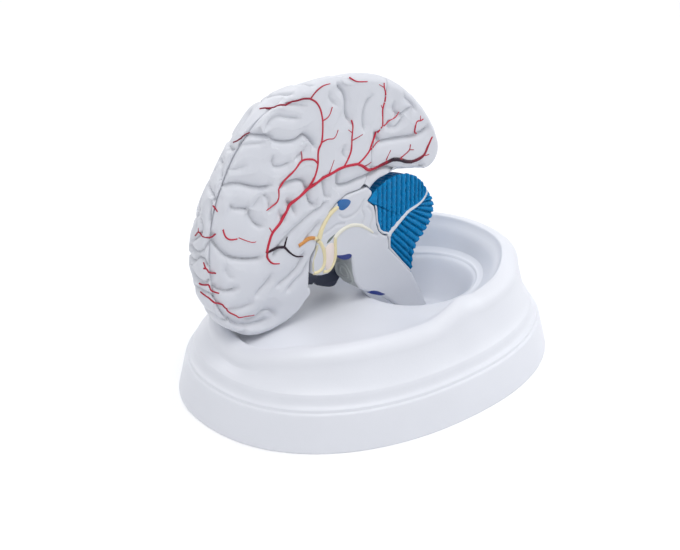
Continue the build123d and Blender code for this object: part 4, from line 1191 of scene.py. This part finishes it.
class BRAIN_OT_stage(bpy.types.Operator):
    """Set up the pale floor, the soft lamps, the world and the camera"""
    bl_idname = "brain.stage"
    bl_label = "Stage"

    def execute(self, context):
        scene = context.scene
        shape = bmesh.new()
        bmesh.ops.create_grid(shape, x_segments=4, y_segments=4, size=6.0)
        mesh = bpy.data.meshes.new("floor")
        shape.to_mesh(mesh)
        shape.free()
        floor = link(bpy.data.objects.new("floor", mesh))
        paper = bpy.data.materials.new("paper_floor")
        paper.use_nodes = True
        shader = paper.node_tree.nodes["Principled BSDF"]
        shader.inputs["Base Color"].default_value = (0.93, 0.93, 0.935, 1)
        shader.inputs["Roughness"].default_value = 0.9
        shader.inputs["Specular IOR Level"].default_value = 0.1
        glow = paper.node_tree.nodes.new("ShaderNodeEmission")
        glow.inputs["Color"].default_value = (1, 1, 1, 1)
        shown = paper.node_tree.nodes.new("ShaderNodeMath")
        shown.operation = "MULTIPLY"
        shown.inputs[1].default_value = FLOOR_GLOW
        paper.node_tree.links.new(white_seen_by_camera(paper.node_tree), shown.inputs[0])
        paper.node_tree.links.new(shown.outputs[0], glow.inputs["Strength"])
        both = paper.node_tree.nodes.new("ShaderNodeAddShader")
        paper.node_tree.links.new(shader.outputs[0], both.inputs[0])
        paper.node_tree.links.new(glow.outputs[0], both.inputs[1])
        paper.node_tree.links.new(both.outputs[0], paper.node_tree.nodes["Material Output"].inputs[0])
        mesh.materials.append(paper)

        world = bpy.data.worlds.new("soft_world")
        scene.world = world
        world.use_nodes = True
        tree = world.node_tree
        plain = tree.nodes["Background"]
        plain.inputs["Color"].default_value = (0.93, 0.95, 1.0, 1)
        plain.inputs["Strength"].default_value = 0.55
        seen = tree.nodes.new("ShaderNodeBackground")
        seen.inputs["Color"].default_value = (1, 1, 1, 1)
        seen.inputs["Strength"].default_value = 1.0
        blend = tree.nodes.new("ShaderNodeMixShader")
        tree.links.new(white_seen_by_camera(tree), blend.inputs[0])
        tree.links.new(plain.outputs[0], blend.inputs[1])
        tree.links.new(seen.outputs[0], blend.inputs[2])
        tree.links.new(blend.outputs[0], tree.nodes["World Output"].inputs[0])

        for name, place, size, power, colour in (
                ("key_lamp", (-0.55, -0.55, 1.35), 0.9, 6.8, (1.0, 0.99, 0.98)),
                ("fill_lamp", (1.35, -0.6, 0.8), 1.2, 6.5, (0.97, 0.98, 1.0)),
                ("back_lamp", (0.3, 1.2, 1.2), 1.0, 6.0, (1.0, 1.0, 1.0)),
                ("top_lamp", (0.15, -0.15, 1.6), 0.8, 4.5, (1.0, 1.0, 1.0))):
            lamp = bpy.data.lights.new(name, "AREA")
            lamp.size = size
            lamp.energy = power
            lamp.color = colour
            holder = link(bpy.data.objects.new(name, lamp))
            holder.location = place
            holder.rotation_euler = (Vector((0, 0, 0.08)) - Vector(place)).to_track_quat("-Z", "Y").to_euler()

        lens = bpy.data.cameras.new("camera")
        lens.lens = CAMERA_LENS
        lens.sensor_width = 36.0
        camera = link(bpy.data.objects.new("camera", lens))
        turn, lift = math.radians(CAMERA_AZIMUTH), math.radians(CAMERA_ELEVATION)
        back = Vector((math.sin(turn) * math.cos(lift), -math.cos(turn) * math.cos(lift), math.sin(lift)))
        right = Vector((math.cos(turn), math.sin(turn), 0))
        up = back.cross(right)
        roll = math.radians(CAMERA_ROLL)
        side = math.cos(roll) * right + math.sin(roll) * up
        top = -math.sin(roll) * right + math.cos(roll) * up
        place = Matrix((side, top, back)).transposed().to_4x4()
        place.translation = Vector(CAMERA_AIM) + back * CAMERA_DISTANCE
        camera.matrix_world = place
        scene.camera = camera
        scene.view_settings.view_transform = "Standard"
        return {"FINISHED"}


class BRAIN_PT_panel(bpy.types.Panel):
    """Lists the model's settings and its pieces"""
    bl_idname = "BRAIN_PT_panel"
    bl_label = "Brain Model"
    bl_space_type = "VIEW_3D"
    bl_region_type = "UI"
    bl_category = "Brain Model"

    def draw(self, context):
        options = context.scene.brain_model
        for name in BrainModelSettings.__annotations__:
            self.layout.prop(options, name)
        for operator in OPERATORS:
            self.layout.operator(operator.bl_idname)


OPERATORS = (BRAIN_OT_base, BRAIN_OT_lobes, BRAIN_OT_stem, BRAIN_OT_cerebellum, BRAIN_OT_pins, BRAIN_OT_stage)
CLASSES = (BrainModelSettings,) + OPERATORS + (BRAIN_PT_panel,)


def register():
    for item in CLASSES:
        bpy.utils.register_class(item)
    bpy.types.Scene.brain_model = PointerProperty(type=BrainModelSettings)


def unregister():
    del bpy.types.Scene.brain_model
    for item in reversed(CLASSES):
        bpy.utils.unregister_class(item)


def main():
    register()
    bpy.ops.brain.base()
    bpy.ops.brain.lobes()
    bpy.ops.brain.stem()
    bpy.ops.brain.cerebellum()
    bpy.ops.brain.pins()
    bpy.ops.brain.stage()


if __name__ == "__main__":
    main()
